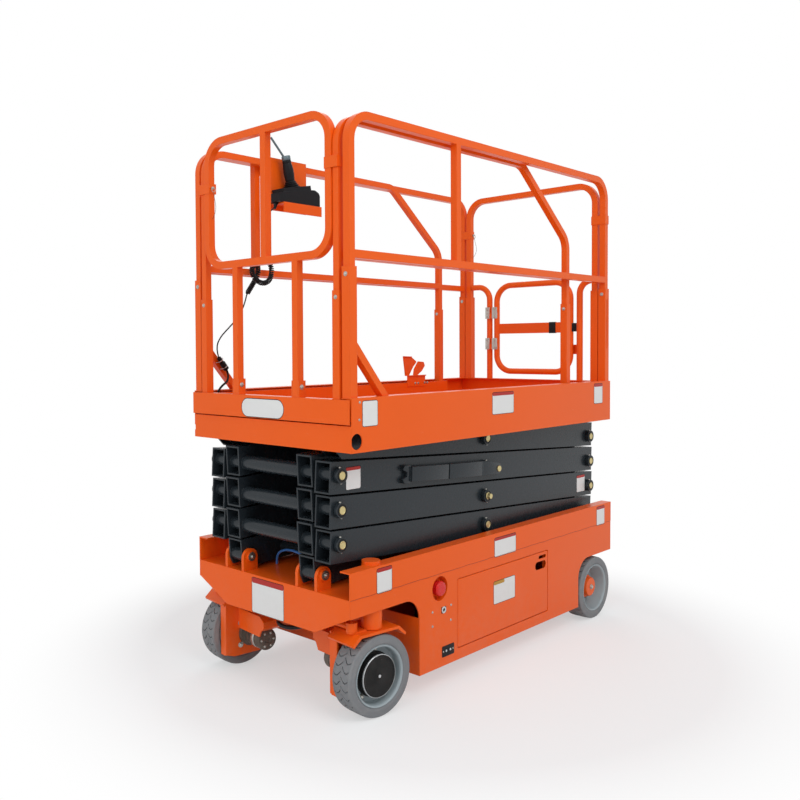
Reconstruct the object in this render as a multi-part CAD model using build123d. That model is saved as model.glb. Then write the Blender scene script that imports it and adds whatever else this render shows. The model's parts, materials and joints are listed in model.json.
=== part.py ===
"""Compact self-propelled scissor lift, stored with its platform down.

Millimetres. +X points forward, to the steered wheels, +Y to the machine's left and +Z up.
The origin is on the floor, under the middle of the machine.
Each sub-part is written to parts/NODE.step.
"""

import math
import os

from build123d import *

# ---------------------------------------------------------------- general fits
PIN_GAP = 0.5  # radial gap of a pin in its bush
MOVE_GAP = 5.0  # least gap between pieces that pass each other
SHEET = 4.0  # folded sheet steel of the platform
PLATE = 5.0  # plate of the chassis

# ---------------------------------------------------------------- chassis
CHASSIS_FRONT = 914.0
CHASSIS_REAR = -928.0
CHASSIS_HALF_WIDTH = 414.5
CHASSIS_BOTTOM = 84.0
DECK_TOP = 438.0  # flat top plate that the scissor stands on
RAIL_TOP = 531.0
RAIL_LIP = 48.0  # width of the lip that is turned inward
ARCH_REAR = 547.0  # rear edge of the front wheel arch
ARCH_TOP = 374.0
ARCH_RADIUS = 78.0
REAR_STEP_X = -616.0  # front edge of the rear wheel cut-out
REAR_STEP_TOP = 300.0
REAR_STEP_RADIUS = 90.0
PANEL_CORNER_Z = 374.0  # front panel: upper end of each bevelled corner
PANEL_FOOT_Z = 294.0  # and the lower end
PANEL_FOOT_HALF = 242.0
TUNNEL_HALF_WIDTH = 150.0  # inner walls of the side compartments
REAR_WHEEL_GAP = 30.5  # from the rear box's side out to the tyre
REAR_BOX_BOTTOM = 110.0
REAR_BOX_END = -905.0
STEP_HOLE_WIDTH = 320.0  # climbing step cut in the rear panel
STEP_HOLE_HEIGHT = 62.0
STEP_HOLE_Z = 366.0

DOOR_X = (-345.0, 312.0)
DOOR_Z = (130.0, 394.0)
DOOR_GAP = 3.0
DOOR_CORNER = 8.0
DOOR_THICKNESS = 14.0  # outer skin with its turned edge
DOOR_ROUND = 2.5  # turned edge; the front one is centred on the hinge line
DOOR_LIP = 12.0  # stop frame behind the door's edge
HANDLE_SLOTS = (  # centre x, centre z, length, height
    (-302.0, 374.0, 58.0, 14.0),
    (-288.0, 339.0, 86.0, 34.0),
)

STOP_X = 424.0  # emergency stop button in its dished hole
STOP_Z = 382.0
STOP_HOLE_RADIUS = 46.0
STOP_BUTTON_RADIUS = 27.0
SOCKET_X = 382.0  # charging socket hole
SOCKET_Z = 138.0
SOCKET_SIZE = (60.0, 30.0)

EAR_THICKNESS = 13.0
EAR_HALF_LENGTH = 35.0
EAR_RISE = 30.0  # height of the ear's rounded top over the pin
PIN_HEAD = 7.0

# ---------------------------------------------------------------- wheels and steering
WHEEL_RADIUS = 144.0
TYRE_WIDTH = 95.0
TYRE_SHOULDER = 13.0
RIM_RADIUS = 109.0
RIM_WALL = 7.0
TRACK_HALF = 370.0
REAR_BOX_HALF_WIDTH = TRACK_HALF - TYRE_WIDTH / 2 - REAR_WHEEL_GAP
FRONT_AXLE_X = 760.0
REAR_AXLE_X = -770.0
SPINDLE_RADIUS = 20.0
HUB_CAP_RADIUS = 74.0
REAR_HUB_RADIUS = 58.0
STEER_REST = -7.0  # the front wheels stand turned a little to the right
STEER_REACH = 35.0  # lock to lock, each way from straight ahead
KINGPIN_RADIUS = 21.0
HOUSING_RADIUS = 38.0
HOUSING_NECK = 34.0  # the same tube above the deck
KNUCKLE_TOP_Z = 304.0
KNUCKLE_PLATE = 10.0
KNUCKLE_SIDE = 86.0  # from the kingpin in to the side plate
MOTOR_RADIUS = 43.0
ARM_SKIRT = (46.5, 52.0)  # front face of the box arm, hanging in front of the motor
ARM_SKIRT_Z = 170.0
MOTOR_LENGTH = 128.0
ARM_LENGTH = 90.0  # steering arm, forward of the kingpin
TIE_ROD_RADIUS = 13.0
TIE_ROD_Z = 326.0
TIE_END_RADIUS = 20.0
TIE_END_HEIGHT = 31.0
BALL_PIN_RADIUS = 7.0

# ---------------------------------------------------------------- scissor
STAGES = 4
FRONT_PIN_X = 876.0
REAR_PIN_X = -866.0
BASE_PIN_Z = 490.0
PITCH = 119.5  # height of one folded stage
BEAM_HEIGHT = 112.0
BEAM_WIDTH = 76.0
BEAM_WALL = 6.0
BEAM_OFFSET = 9.5  # end pins are off the beam's middle line by this
BEAM_OVERHANG = 38.0
INNER_Y = 160.0  # near face of the inner beams
OUTER_Y = 250.0  # near face of the outer beams
PIN_RADIUS = 18.0
BUSH_RADIUS = 25.0
COLLAR_RADIUS = 27.0
COLLAR_LENGTH = 16.0
CROSS_TUBE_RADIUS = 28.0
END_TRIM = 40.0  # the lowest and highest beam ends are bevelled to this about the pin
END_REACH = 28.0
SWING_CLEAR = 34.0  # and the last one's other corner to this, to pass the platform's front sheet
LIFT_TRAVEL = 45.0  # degrees that each beam turns
ROLLER_RADIUS = 35.0
ROLLER_WIDTH = 28.0
PROP_BAR_RUN = (905.0, 1386.0)  # maintenance prop, stored flat on the third outer beam

BARREL_RADIUS = 42.0
ROD_RADIUS = 27.0
CYLINDER_BASE = 190.0  # along the lowest inner beam, from its front pin
CYLINDER_EYE = 1395.0  # along the second inner beam
CYLINDER_LIFT = 34.0  # height of the rod's eye over the second beam's pin line
CYLINDER_DROP = -8.0
EYE_RADIUS = 34.0
MOUNT_TUBE_RADIUS = 22.0

# ---------------------------------------------------------------- platform
PLATFORM_FRONT = 919.0
PLATFORM_REAR = -889.0
PLATFORM_HALF_WIDTH = 430.0
SKIRT_BOTTOM = 934.0
SKIRT_TOP = 1118.0
SKIRT_FLANGE = 46.0
FLOOR_TOP = 1024.0
FRONT_SKIRT_TOP = FLOOR_TOP
TIE_HOLE_RADIUS = 27.0
TIE_HOLE_X = 894.0
TIE_HOLE_Z = 972.0

TUBE = 28.0  # square guard rail tube
SLEEVE = 36.0  # square socket post that the tube stands in
SLEEVE_GAP = 0.5
MAIN_Y = PLATFORM_HALF_WIDTH - 26.0
MAIN_POSTS = (PLATFORM_FRONT - 20.0, PLATFORM_REAR + 18.0)
RAIL_HEIGHT = 2077.0
MID_RAIL_Z = 1598.0
RAIL_BEND = 88.0
SLEEVE_TOP = 1556.0
TUBE_FOOT = 1300.0
MID_POST_X = {1: 305.0, -1: 613.0}  # left and right frames differ
BRACE_RUN = 165.0
BRACE_RISE = 190.0
SLOT_WIDTH = 9.0
SLOT_Z = (1275.0, 1505.0)

REAR_LOOP_Y = MAIN_Y - 40.0
REAR_LOOP_TOP = RAIL_HEIGHT - 7.0
REAR_COLLAR_Z = (RAIL_HEIGHT - 215.0, RAIL_HEIGHT - 174.0)
STRAP_WRAP = 2.0  # sheet of the collars that hold two frames together
GATE_TUBE = 15.0  # radius of the round gate tube
GATE_X = MAIN_POSTS[1]
GATE_Y = (-193.0, 231.0)
GATE_Z = (1157.0, 1602.0)
GATE_BEND = 84.0
GATE_BAR_Z = (1352.0, 1404.0)
GATE_POST_Y = (-238.0, 281.0)
GATE_POST_BEND = 70.0
HALF_RAIL_Z = 1601.0
HINGE_Z = (1462.0, 1300.0)
HINGE_HEIGHT = 60.0
HINGE_FORWARD = 12.0  # hinge line, inboard of the tubes
HINGE_RADIUS = 6.5
HINGE_PIN = 3.0
STOP_PLATE_Z = (1245.0, 1292.0)

# ---------------------------------------------------------------- extension deck
EXT_FRONT = 928.0
EXT_SKIRT = (1029.0, 1112.0)
EXT_FLOOR = (1029.0, 1032.0)
EXT_REAR = -640.0
EXT_HALF_WIDTH = PLATFORM_HALF_WIDTH - 3.0
EXT_Y = MAIN_Y - 43.0
EXT_SLEEVE = 32.0
EXT_TUBE = 26.0
EXT_POST_X = 905.0
EXT_REAR_POST_X = -590.0
EXT_RAIL_HEIGHT = RAIL_HEIGHT - 7.0
EXT_SLEEVE_TOP = 1478.0
EXT_BEND_X = -215.0  # top rail turns down here
EXT_BEND_Z = EXT_RAIL_HEIGHT - 305.0  # and upright here
EXT_TOE = 1110.0
PEDAL_SHEET = 5.0  # deck lock pedal on the right toe board
PEDAL_DEPTH = 12.0
PEDAL_BRACKET_X = (-447.0, -309.0)
PEDAL_BRACKET_Z = (1090.0, 1146.0)
FRONT_PETAL = ((-276, 1241), (-334, 1239), (-380, 1212), (-352, 1188), (-318, 1143), (-292, 1143), (-286, 1183))
REAR_PETAL = ((-384, 1214), (-426, 1211), (-436, 1192), (-412, 1166), (-372, 1143), (-346, 1143), (-352, 1176))
PETAL_ROUND = 5.0
LOOP_HALF_WIDTH = EXT_Y - 30.0  # centre line of the front loop
LOOP_Z = (1604.0, RAIL_HEIGHT + 1.0)
LOOP_X = 910.0
LOOP_BEND = 86.0
LEG_Y = 164.0
LEG_SOCKET = 38.0
LEG_SOCKET_TOP = 1171.0
STRAP_Z = (RAIL_HEIGHT - 190.0, RAIL_HEIGHT - 151.0)  # collars that join the loop to the side rails

# ---------------------------------------------------------------- control box and its cable
BRACKET_X = (378.0, 585.0)
BRACKET_PLATE = 5.0
BRACKET_DEPTH = 215.0  # below the top rail
TRAY_X = (364.0, 582.0)
TRAY_THICKNESS = 6.0
TRAY_LIP = 36.0
BOX_Y = (-EXT_Y + 23.0, -EXT_Y + 99.0)
BOX_MIDDLE_Y = (BOX_Y[0] + BOX_Y[1]) / 2
BOX_Z = RAIL_HEIGHT - 189.0
BOX_REAR = 370.0
BOX_FRONT = 606.0
BOX_NOSE = 35.0  # height at the front end
BOX_HUMP = 68.0  # and at the back
BOX_HUMP_ROUND = 22.0
CONTROL_PLATE_X = (418.0, 578.0)
CONTROL_PLATE_RISE = 16.0
STICK_X = 500.0
STICK_LEAN = 14.0  # degrees, forward
BOOT_RADII = (32.0, 26.0, 20.0)
BOOT_HEIGHTS = (14.0, 12.0)
GRIP_LENGTH = 102.0
HEAD_LENGTH = 13.0
GRIP_RADII = (19.0, 16.0)
HANDLE_ROD_RUN = 88.0  # bright rod on the stick's head, forward and up
HANDLE_ROD_RISE = 86.0
HANDLE_ROD_RADIUS = 4.5
CABLE_RADIUS = 3.5
CURL_RADIUS = 12.0
CABLE_LEAD = (  # x, y, z from the box down to the curl
    (590.0, -300.0, 1888.0),
    (598.0, -300.0, 1862.0),
    (634.0, -302.0, 1842.0),
    (646.0, -306.0, 1800.0),
    (640.0, -308.0, 1748.0),
    (646.0, -308.0, 1700.0),
)
CABLE_CURL = (  # the curly stretch hangs in one open turn
    (646.0, -308.0, 1700.0),
    (634.0, -306.0, 1655.0),
    (612.0, -300.0, 1610.0),
    (630.0, -296.0, 1560.0),
    (680.0, -294.0, 1546.0),
    (722.0, -300.0, 1576.0),
    (712.0, -312.0, 1622.0),
    (672.0, -324.0, 1630.0),
    (660.0, -332.0, 1590.0),
    (690.0, -334.0, 1548.0),
    (722.0, -334.0, 1506.0),
)
CABLE_TAIL = (  # thin again, out to the plug on the brace
    (722.0, -334.0, 1506.0),
    (730.0, -342.0, 1462.0),
    (746.0, -356.0, 1416.0),
    (786.0, -368.0, 1372.0),
    (832.0, -374.0, 1330.0),
    (852.0, -375.0, 1286.0),
    (838.0, -375.0, 1248.0),
)
PLUG_END = (800.0, -375.0, 1202.0)
PLUG_RADIUS = 9.0
SOCKET_BODY_RADIUS = 12.0
PLUG_SHARE = 0.45  # of the pair's length
CONDUIT_RADIUS = 4.5
CONDUIT = (  # from the socket down through the platform floor
    (800.0, -375.0, 1202.0),
    (788.0, -375.0, 1178.0),
    (796.0, -374.0, 1150.0),
    (824.0, -373.0, 1136.0),
    (846.0, -373.0, 1112.0),
    (852.0, -374.0, 1076.0),
    (850.0, -374.0, 1024.0),
)
HOSE_RADIUS = 8.0
HOSE_GLAND = 9.0
HOSE_GLAND_Z = 268.0
HOSE_GLAND_Y = 112.0
HOSE = (  # hydraulic hose, in one bow under the front panel
    (556.0, -112.0, 268.0),
    (606.0, -110.0, 270.0),
    (658.0, -106.0, 269.0),
    (714.0, -98.0, 265.0),
    (770.0, -84.0, 258.0),
    (812.0, -62.0, 249.0),
    (840.0, -24.0, 244.0),
    (840.0, 24.0, 243.0),
    (812.0, 62.0, 248.0),
    (770.0, 84.0, 257.0),
    (714.0, 98.0, 265.0),
    (658.0, 106.0, 269.0),
    (606.0, 110.0, 270.0),
    (556.0, 112.0, 268.0),
)
LIFT_HOSE_RADIUS = 5.0
LIFT_HOSE = (  # from the deck over to the lift cylinder's foot and back
    (744.0, -140.0, 438.0),
    (744.0, -140.0, 462.0),
    (747.0, -126.0, 484.0),
    (748.0, -98.0, 499.0),
    (749.0, -62.0, 506.0),
    (749.0, -20.0, 505.0),
    (748.0, 18.0, 495.0),
    (746.0, 46.0, 476.0),
    (744.0, 60.0, 456.0),
    (744.0, 60.0, 438.0),
)


# ---------------------------------------------------------------- helpers
def block(x, y, z):
    """Box between two values on each axis."""
    size = (x[1] - x[0], y[1] - y[0], z[1] - z[0])
    return Pos((x[0] + x[1]) / 2, (y[0] + y[1]) / 2, (z[0] + z[1]) / 2) * Box(*size)


def bar_y(radius, y, x, z):
    """Round bar along Y between two y values."""
    return Pos(x, (y[0] + y[1]) / 2, z) * Rot(90, 0, 0) * Cylinder(radius, y[1] - y[0])


def bar_x(radius, x, y, z):
    """Round bar along X between two x values."""
    return Pos((x[0] + x[1]) / 2, y, z) * Rot(0, 90, 0) * Cylinder(radius, x[1] - x[0])


def bar_z(radius, z, x, y):
    """Round bar along Z between two z values."""
    return Pos(x, y, (z[0] + z[1]) / 2) * Cylinder(radius, z[1] - z[0])


def slab_xz(outline, y):
    """Outline of (x, z) corners, extruded from y[0] to y[1]."""
    wire = Polyline(*[(px, y[1], pz) for px, pz in outline], close=True)
    return extrude(make_face(wire), amount=y[1] - y[0], dir=(0, -1, 0))


def slab_yz(outline, x):
    """Outline of (y, z) corners, extruded from x[0] to x[1]."""
    wire = Polyline(*[(x[0], py, pz) for py, pz in outline], close=True)
    return extrude(make_face(wire), amount=x[1] - x[0], dir=(1, 0, 0))


def mirrored(shape):
    """The same piece on the other side of the machine."""
    return mirror(shape, Plane.XZ)


def both_sides(shape):
    """The piece and its mirror image."""
    return shape + mirrored(shape)


def square_bar(points, bend, size, across):
    """Square tube outline swept along points, its corners rounded to bend. across is a direction off the path."""
    path = FilletPolyline(*points, radius=bend) if len(points) > 2 else Polyline(*points)
    start = Plane(origin=path @ 0, x_dir=across, z_dir=path % 0)
    return sweep(start * Rectangle(size, size), path=path)


def round_bar(points, bends, radius):
    """Round tube outline swept along points."""
    path = FilletPolyline(*points, radius=bends) if len(points) > 2 else Polyline(*points)
    start = Plane(origin=path @ 0, z_dir=path % 0)
    return sweep(start * Circle(radius), path=path)


def rectangle_loop(low, high, bend, section, place):
    """Closed rounded rectangle of tube. place turns (across, up) into a point, section makes the profile."""
    corners = [low, (high[0], low[1]), high, (low[0], high[1])]
    path = FilletPolyline(*[place(c) for c in corners], radius=bend, close=True)
    start = Plane(origin=path @ 0, x_dir=(1, 0, 0), z_dir=path % 0)
    return sweep(start * section, path=path)


def run_radii(points):
    """Largest bend that each corner of a cable's route has room for."""
    radii = []
    for before, here, after in zip(points, points[1:], points[2:]):
        first = Vector(*here) - Vector(*before)
        second = Vector(*after) - Vector(*here)
        turn = math.radians(first.get_angle(second))
        radii.append(0.45 * min(first.length, second.length) / math.tan(turn / 2))
    return radii


def cable(points, radius):
    """Cable along a route of straight runs joined by the largest arcs."""
    radii = run_radii(points)
    print("bend radii", [round(r) for r in radii])
    path = FilletPolyline(*points, radius=radii)
    start = Plane(origin=path @ 0, z_dir=path % 0)
    return sweep(start * Circle(radius), path=path)


parts = {}


# ---------------------------------------------------------------- chassis
def side_outline():
    """Closed outline of a side panel: front arch, long body, rear wheel cut-out."""
    face = make_face(
        Polyline(
            (CHASSIS_FRONT, DECK_TOP),
            (CHASSIS_FRONT, ARCH_TOP),
            (ARCH_REAR, ARCH_TOP),
            (ARCH_REAR, CHASSIS_BOTTOM),
            (REAR_STEP_X, CHASSIS_BOTTOM),
            (REAR_STEP_X, REAR_STEP_TOP),
            (CHASSIS_REAR, REAR_STEP_TOP),
            (CHASSIS_REAR, DECK_TOP),
            close=True,
        )
    )
    corners = {
        (ARCH_REAR, ARCH_TOP): ARCH_RADIUS,
        (REAR_STEP_X, REAR_STEP_TOP): REAR_STEP_RADIUS,
    }
    for (x, z), radius in corners.items():
        corner = face.vertices().sort_by_distance((x, z, 0))[0]
        face = fillet(corner, radius)
    return face


def upright(sketch, y):
    """Stand an XY sketch up in XZ and extrude it from y[0] to y[1]."""
    return extrude(Plane.XZ * sketch, amount=y[1] - y[0]).moved(Location((0, y[1], 0)))


outer_y = (CHASSIS_HALF_WIDTH - PLATE, CHASSIS_HALF_WIDTH)
panel = upright(side_outline(), outer_y)
door_middle = ((DOOR_X[0] + DOOR_X[1]) / 2, (DOOR_Z[0] + DOOR_Z[1]) / 2)
door_size = (DOOR_X[1] - DOOR_X[0], DOOR_Z[1] - DOOR_Z[0])
doorway = Pos(*door_middle) * RectangleRounded(
    door_size[0] + 2 * DOOR_GAP, door_size[1] + 2 * DOOR_GAP, DOOR_CORNER
)
panel -= upright(doorway, outer_y)
panel -= bar_y(STOP_HOLE_RADIUS, outer_y, STOP_X, STOP_Z)
panel -= block(
    (SOCKET_X - SOCKET_SIZE[0] / 2, SOCKET_X + SOCKET_SIZE[0] / 2),
    outer_y,
    (SOCKET_Z - SOCKET_SIZE[1] / 2, SOCKET_Z + SOCKET_SIZE[1] / 2),
)
cup_y = (outer_y[0] - 30, outer_y[0])
stop_cup = bar_y(STOP_HOLE_RADIUS + 4, cup_y, STOP_X, STOP_Z)
stop_cup -= bar_y(STOP_HOLE_RADIUS, (cup_y[0] + 4, cup_y[1]), STOP_X, STOP_Z)
socket_well = block(
    (SOCKET_X - SOCKET_SIZE[0] / 2 - 4, SOCKET_X + SOCKET_SIZE[0] / 2 + 4),
    cup_y,
    (SOCKET_Z - SOCKET_SIZE[1] / 2 - 4, SOCKET_Z + SOCKET_SIZE[1] / 2 + 4),
)
socket_well -= block(
    (SOCKET_X - SOCKET_SIZE[0] / 2, SOCKET_X + SOCKET_SIZE[0] / 2),
    (cup_y[0] + 4, cup_y[1]),
    (SOCKET_Z - SOCKET_SIZE[1] / 2, SOCKET_Z + SOCKET_SIZE[1] / 2),
)
door_back_y = outer_y[1] - DOOR_THICKNESS - 1
door_frame_size = (door_size[0] + 2 * DOOR_GAP + 8, door_size[1] + 2 * DOOR_GAP + 8)
door_frame = upright(
    Pos(*door_middle) * Rectangle(*door_frame_size)
    - Pos(*door_middle) * Rectangle(door_size[0] - 2 * DOOR_LIP, door_size[1] - 2 * DOOR_LIP),
    (door_back_y - 4, door_back_y),
)
door_frame += upright(
    Pos(*door_middle) * Rectangle(*door_frame_size)
    - Pos(*door_middle) * Rectangle(door_frame_size[0] - 8, door_frame_size[1] - 8),
    (door_back_y, outer_y[0]),
)
parts["side_panels"] = both_sides(panel + door_frame + stop_cup + socket_well)

inside = CHASSIS_HALF_WIDTH - PLATE
well_wall_x = (ARCH_REAR - PLATE, ARCH_REAR)
rear_wall_x = (REAR_STEP_X, REAR_STEP_X + PLATE)
tub = block((rear_wall_x[0], well_wall_x[1]), (-inside, inside), (CHASSIS_BOTTOM, CHASSIS_BOTTOM + PLATE))
deck_under = DECK_TOP - PLATE
well_wall = block(well_wall_x, (-inside, inside), (CHASSIS_BOTTOM, ARCH_TOP - ARCH_RADIUS))
well_wall += block(well_wall_x, (-TUNNEL_HALF_WIDTH, TUNNEL_HALF_WIDTH), (ARCH_TOP - ARCH_RADIUS, deck_under))
tub += well_wall
tub += block(rear_wall_x, (-inside, inside), (CHASSIS_BOTTOM, REAR_STEP_TOP - REAR_STEP_RADIUS))
tub += block(
    rear_wall_x,
    (-REAR_BOX_HALF_WIDTH, REAR_BOX_HALF_WIDTH),
    (REAR_STEP_TOP - REAR_STEP_RADIUS, deck_under),
)
for side in (1, -1):
    wall_y = sorted((side * TUNNEL_HALF_WIDTH, side * (TUNNEL_HALF_WIDTH - PLATE)))
    tub += block((rear_wall_x[1], well_wall_x[0]), wall_y, (CHASSIS_BOTTOM, deck_under))
    gland_x = (well_wall_x[1], well_wall_x[1] + HOSE_GLAND)
    tub += bar_x(HOSE_RADIUS + 4, gland_x, side * HOSE_GLAND_Y, HOSE_GLAND_Z)
parts["chassis_tub"] = tub

# flat deck with the bevelled front panel, the pin ears and the kingpin housings
front_box_wall = (-PANEL_FOOT_HALF + 12, PANEL_FOOT_HALF - 12)
front_box_end = FRONT_AXLE_X + 20
deck = block((CHASSIS_REAR, CHASSIS_FRONT), (-inside, inside), (deck_under, DECK_TOP))
deck += slab_yz(
    [
        (-CHASSIS_HALF_WIDTH + PLATE, deck_under),
        (-CHASSIS_HALF_WIDTH + PLATE, PANEL_CORNER_Z),
        (-PANEL_FOOT_HALF, PANEL_FOOT_Z),
        (PANEL_FOOT_HALF, PANEL_FOOT_Z),
        (CHASSIS_HALF_WIDTH - PLATE, PANEL_CORNER_Z),
        (CHASSIS_HALF_WIDTH - PLATE, deck_under),
    ],
    (CHASSIS_FRONT - PLATE, CHASSIS_FRONT),
)
for side in (1, -1):
    beam_y = sorted((side * front_box_wall[1], side * (front_box_wall[1] - PLATE)))
    deck += block((well_wall_x[1], front_box_end), beam_y, (PANEL_FOOT_Z, deck_under))
deck += block(
    (well_wall_x[1], front_box_end), front_box_wall, (PANEL_FOOT_Z, PANEL_FOOT_Z + PLATE)
)
ear_gap = MOVE_GAP - 1
ear_rows = (  # low y, high y of each ear
    (INNER_Y - ear_gap - EAR_THICKNESS, INNER_Y - ear_gap),
    (INNER_Y + BEAM_WIDTH + ear_gap, INNER_Y + BEAM_WIDTH + ear_gap + EAR_THICKNESS),
)
for side in (1, -1):
    for row in ear_rows:
        ear_y = sorted((side * row[0], side * row[1]))
        ear = block(
            (FRONT_PIN_X - EAR_HALF_LENGTH, FRONT_PIN_X + EAR_HALF_LENGTH),
            ear_y,
            (DECK_TOP, BASE_PIN_Z + EAR_RISE - EAR_HALF_LENGTH + 5),
        )
        ear += bar_y(EAR_HALF_LENGTH, ear_y, FRONT_PIN_X, BASE_PIN_Z - 5)
        deck += ear & block((0, CHASSIS_FRONT + 50), ear_y, (DECK_TOP, RAIL_TOP))
    pin_y = sorted((side * (ear_rows[0][0] - PIN_HEAD), side * (ear_rows[1][1] + PIN_HEAD)))
    deck += bar_y(PIN_RADIUS, pin_y, FRONT_PIN_X, BASE_PIN_Z)
    cap_y = sorted((side * ear_rows[1][1], side * (ear_rows[1][1] + PIN_HEAD)))
    deck += bar_y(PIN_RADIUS + 3, cap_y, FRONT_PIN_X, BASE_PIN_Z)
    kingpin_y = side * TRACK_HALF
    deck += bar_z(HOUSING_RADIUS, (KNUCKLE_TOP_Z + 2, deck_under), FRONT_AXLE_X, kingpin_y)
    deck += bar_z(HOUSING_NECK, (DECK_TOP, RAIL_TOP), FRONT_AXLE_X, kingpin_y)
    deck += bar_z(HOUSING_NECK - 1, (RAIL_TOP, RAIL_TOP + 12), FRONT_AXLE_X, kingpin_y)
    deck -= bar_z(KINGPIN_RADIUS + PIN_GAP, (KNUCKLE_TOP_Z, deck_under), FRONT_AXLE_X, kingpin_y)
    web_y = sorted((side * front_box_wall[1], side * (TRACK_HALF - HOUSING_RADIUS + 6)))
    deck += block((FRONT_AXLE_X - 5, FRONT_AXLE_X + 5), web_y, (KNUCKLE_TOP_Z + 30, deck_under))
parts["chassis_deck"] = deck

# axle box between the rear wheels, and the rear panel with its step
rear_box = block(
    (REAR_BOX_END, REAR_STEP_X), (-REAR_BOX_HALF_WIDTH, REAR_BOX_HALF_WIDTH), (REAR_BOX_BOTTOM, deck_under)
)
rear_box -= block(
    (REAR_BOX_END + PLATE, REAR_STEP_X),
    (-REAR_BOX_HALF_WIDTH + PLATE, REAR_BOX_HALF_WIDTH - PLATE),
    (REAR_BOX_BOTTOM + PLATE, deck_under),
)
rear_box += block(
    (CHASSIS_REAR, CHASSIS_REAR + PLATE), (-inside, inside), (REAR_STEP_TOP, deck_under)
)
for side in (1, -1):
    ledge_y = sorted((side * REAR_BOX_HALF_WIDTH, side * inside))
    rear_box += block(
        (CHASSIS_REAR + PLATE, REAR_STEP_X - REAR_STEP_RADIUS), ledge_y, (REAR_STEP_TOP, REAR_STEP_TOP + PLATE)
    )
    spindle_y = sorted((side * (REAR_BOX_HALF_WIDTH - PLATE), side * (TRACK_HALF + 8)))
    rear_box += bar_y(SPINDLE_RADIUS, spindle_y, REAR_AXLE_X, WHEEL_RADIUS)
    flange_y = sorted((side * REAR_BOX_HALF_WIDTH, side * (REAR_BOX_HALF_WIDTH + 12)))
    rear_box += bar_y(SPINDLE_RADIUS + 26, flange_y, REAR_AXLE_X, WHEEL_RADIUS)
rear_box += block(
    (CHASSIS_REAR + PLATE, REAR_BOX_END), (-REAR_BOX_HALF_WIDTH, REAR_BOX_HALF_WIDTH),
    (REAR_STEP_TOP, REAR_STEP_TOP + PLATE),
)
step_z = (STEP_HOLE_Z - STEP_HOLE_HEIGHT / 2, STEP_HOLE_Z + STEP_HOLE_HEIGHT / 2)
rear_box -= block(
    (CHASSIS_REAR, REAR_BOX_END + PLATE), (-STEP_HOLE_WIDTH / 2, STEP_HOLE_WIDTH / 2), step_z
)
parts["rear_box"] = rear_box

# side rails: web with an inward lip, and the bar that the rollers run on
track_top = BASE_PIN_Z - ROLLER_RADIUS - 1
rail = block((CHASSIS_REAR, CHASSIS_FRONT), (outer_y[0], CHASSIS_HALF_WIDTH + 1), (DECK_TOP, RAIL_TOP))
rail += block(
    (CHASSIS_REAR, CHASSIS_FRONT), (CHASSIS_HALF_WIDTH - RAIL_LIP, outer_y[0]), (RAIL_TOP - PLATE, RAIL_TOP)
)
track_front = FRONT_AXLE_X - HOUSING_NECK - 60
rail += block(
    (CHASSIS_REAR + 20, track_front), (CHASSIS_HALF_WIDTH - 58, outer_y[0]), (DECK_TOP, track_top)
)
rail -= bar_z(HOUSING_NECK, (DECK_TOP, RAIL_TOP), FRONT_AXLE_X, TRACK_HALF)
parts["side_rails"] = both_sides(rail)

parts["battery_pack"] = block(
    (-320.0, 260.0),
    (TUNNEL_HALF_WIDTH + 12, TUNNEL_HALF_WIDTH + 192),
    (CHASSIS_BOTTOM + PLATE, 330.0),
)
power_unit = block(
    (-300.0, 40.0), (-TUNNEL_HALF_WIDTH - 190, -TUNNEL_HALF_WIDTH - 14), (CHASSIS_BOTTOM + PLATE, 280.0)
)
power_unit += bar_x(62.0, (40.0, 240.0), -TUNNEL_HALF_WIDTH - 100, 180.0)
power_unit += block(
    (60.0, 200.0), (-TUNNEL_HALF_WIDTH - 150, -TUNNEL_HALF_WIDTH - 50), (CHASSIS_BOTTOM + PLATE, 130.0)
)
parts["power_unit"] = power_unit

button = bar_y(STOP_BUTTON_RADIUS * 0.55, (cup_y[0] + 4, cup_y[0] + 18), STOP_X, STOP_Z)
button += bar_y(STOP_BUTTON_RADIUS, (cup_y[0] + 18, cup_y[0] + 30), STOP_X, STOP_Z)
parts["stop_buttons"] = both_sides(button)


# ---------------------------------------------------------------- compartment doors
def side_door():
    """Left door: dished sheet with two finger slots. It turns about its rounded front edge."""
    door_y = (outer_y[1] - DOOR_THICKNESS, outer_y[1])
    skin = upright(Pos(*door_middle) * RectangleRounded(*door_size, DOOR_CORNER), door_y)
    skin = fillet(skin.faces().sort_by(Axis.Y)[-1].outer_wire().edges(), DOOR_ROUND)
    hollow = upright(
        Pos(*door_middle) * Rectangle(door_size[0] - 6, door_size[1] - 6), (door_y[0], door_y[1] - 3)
    )
    body = skin - hollow
    for x, z, length, height in HANDLE_SLOTS:
        cut = Pos(x, z) * RectangleRounded(length, height, height / 2 - 0.5)
        body -= upright(cut, (door_y[1] - 3, door_y[1]))
    return body


parts["side_door_left"] = side_door()
parts["side_door_right"] = mirrored(side_door())


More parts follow.
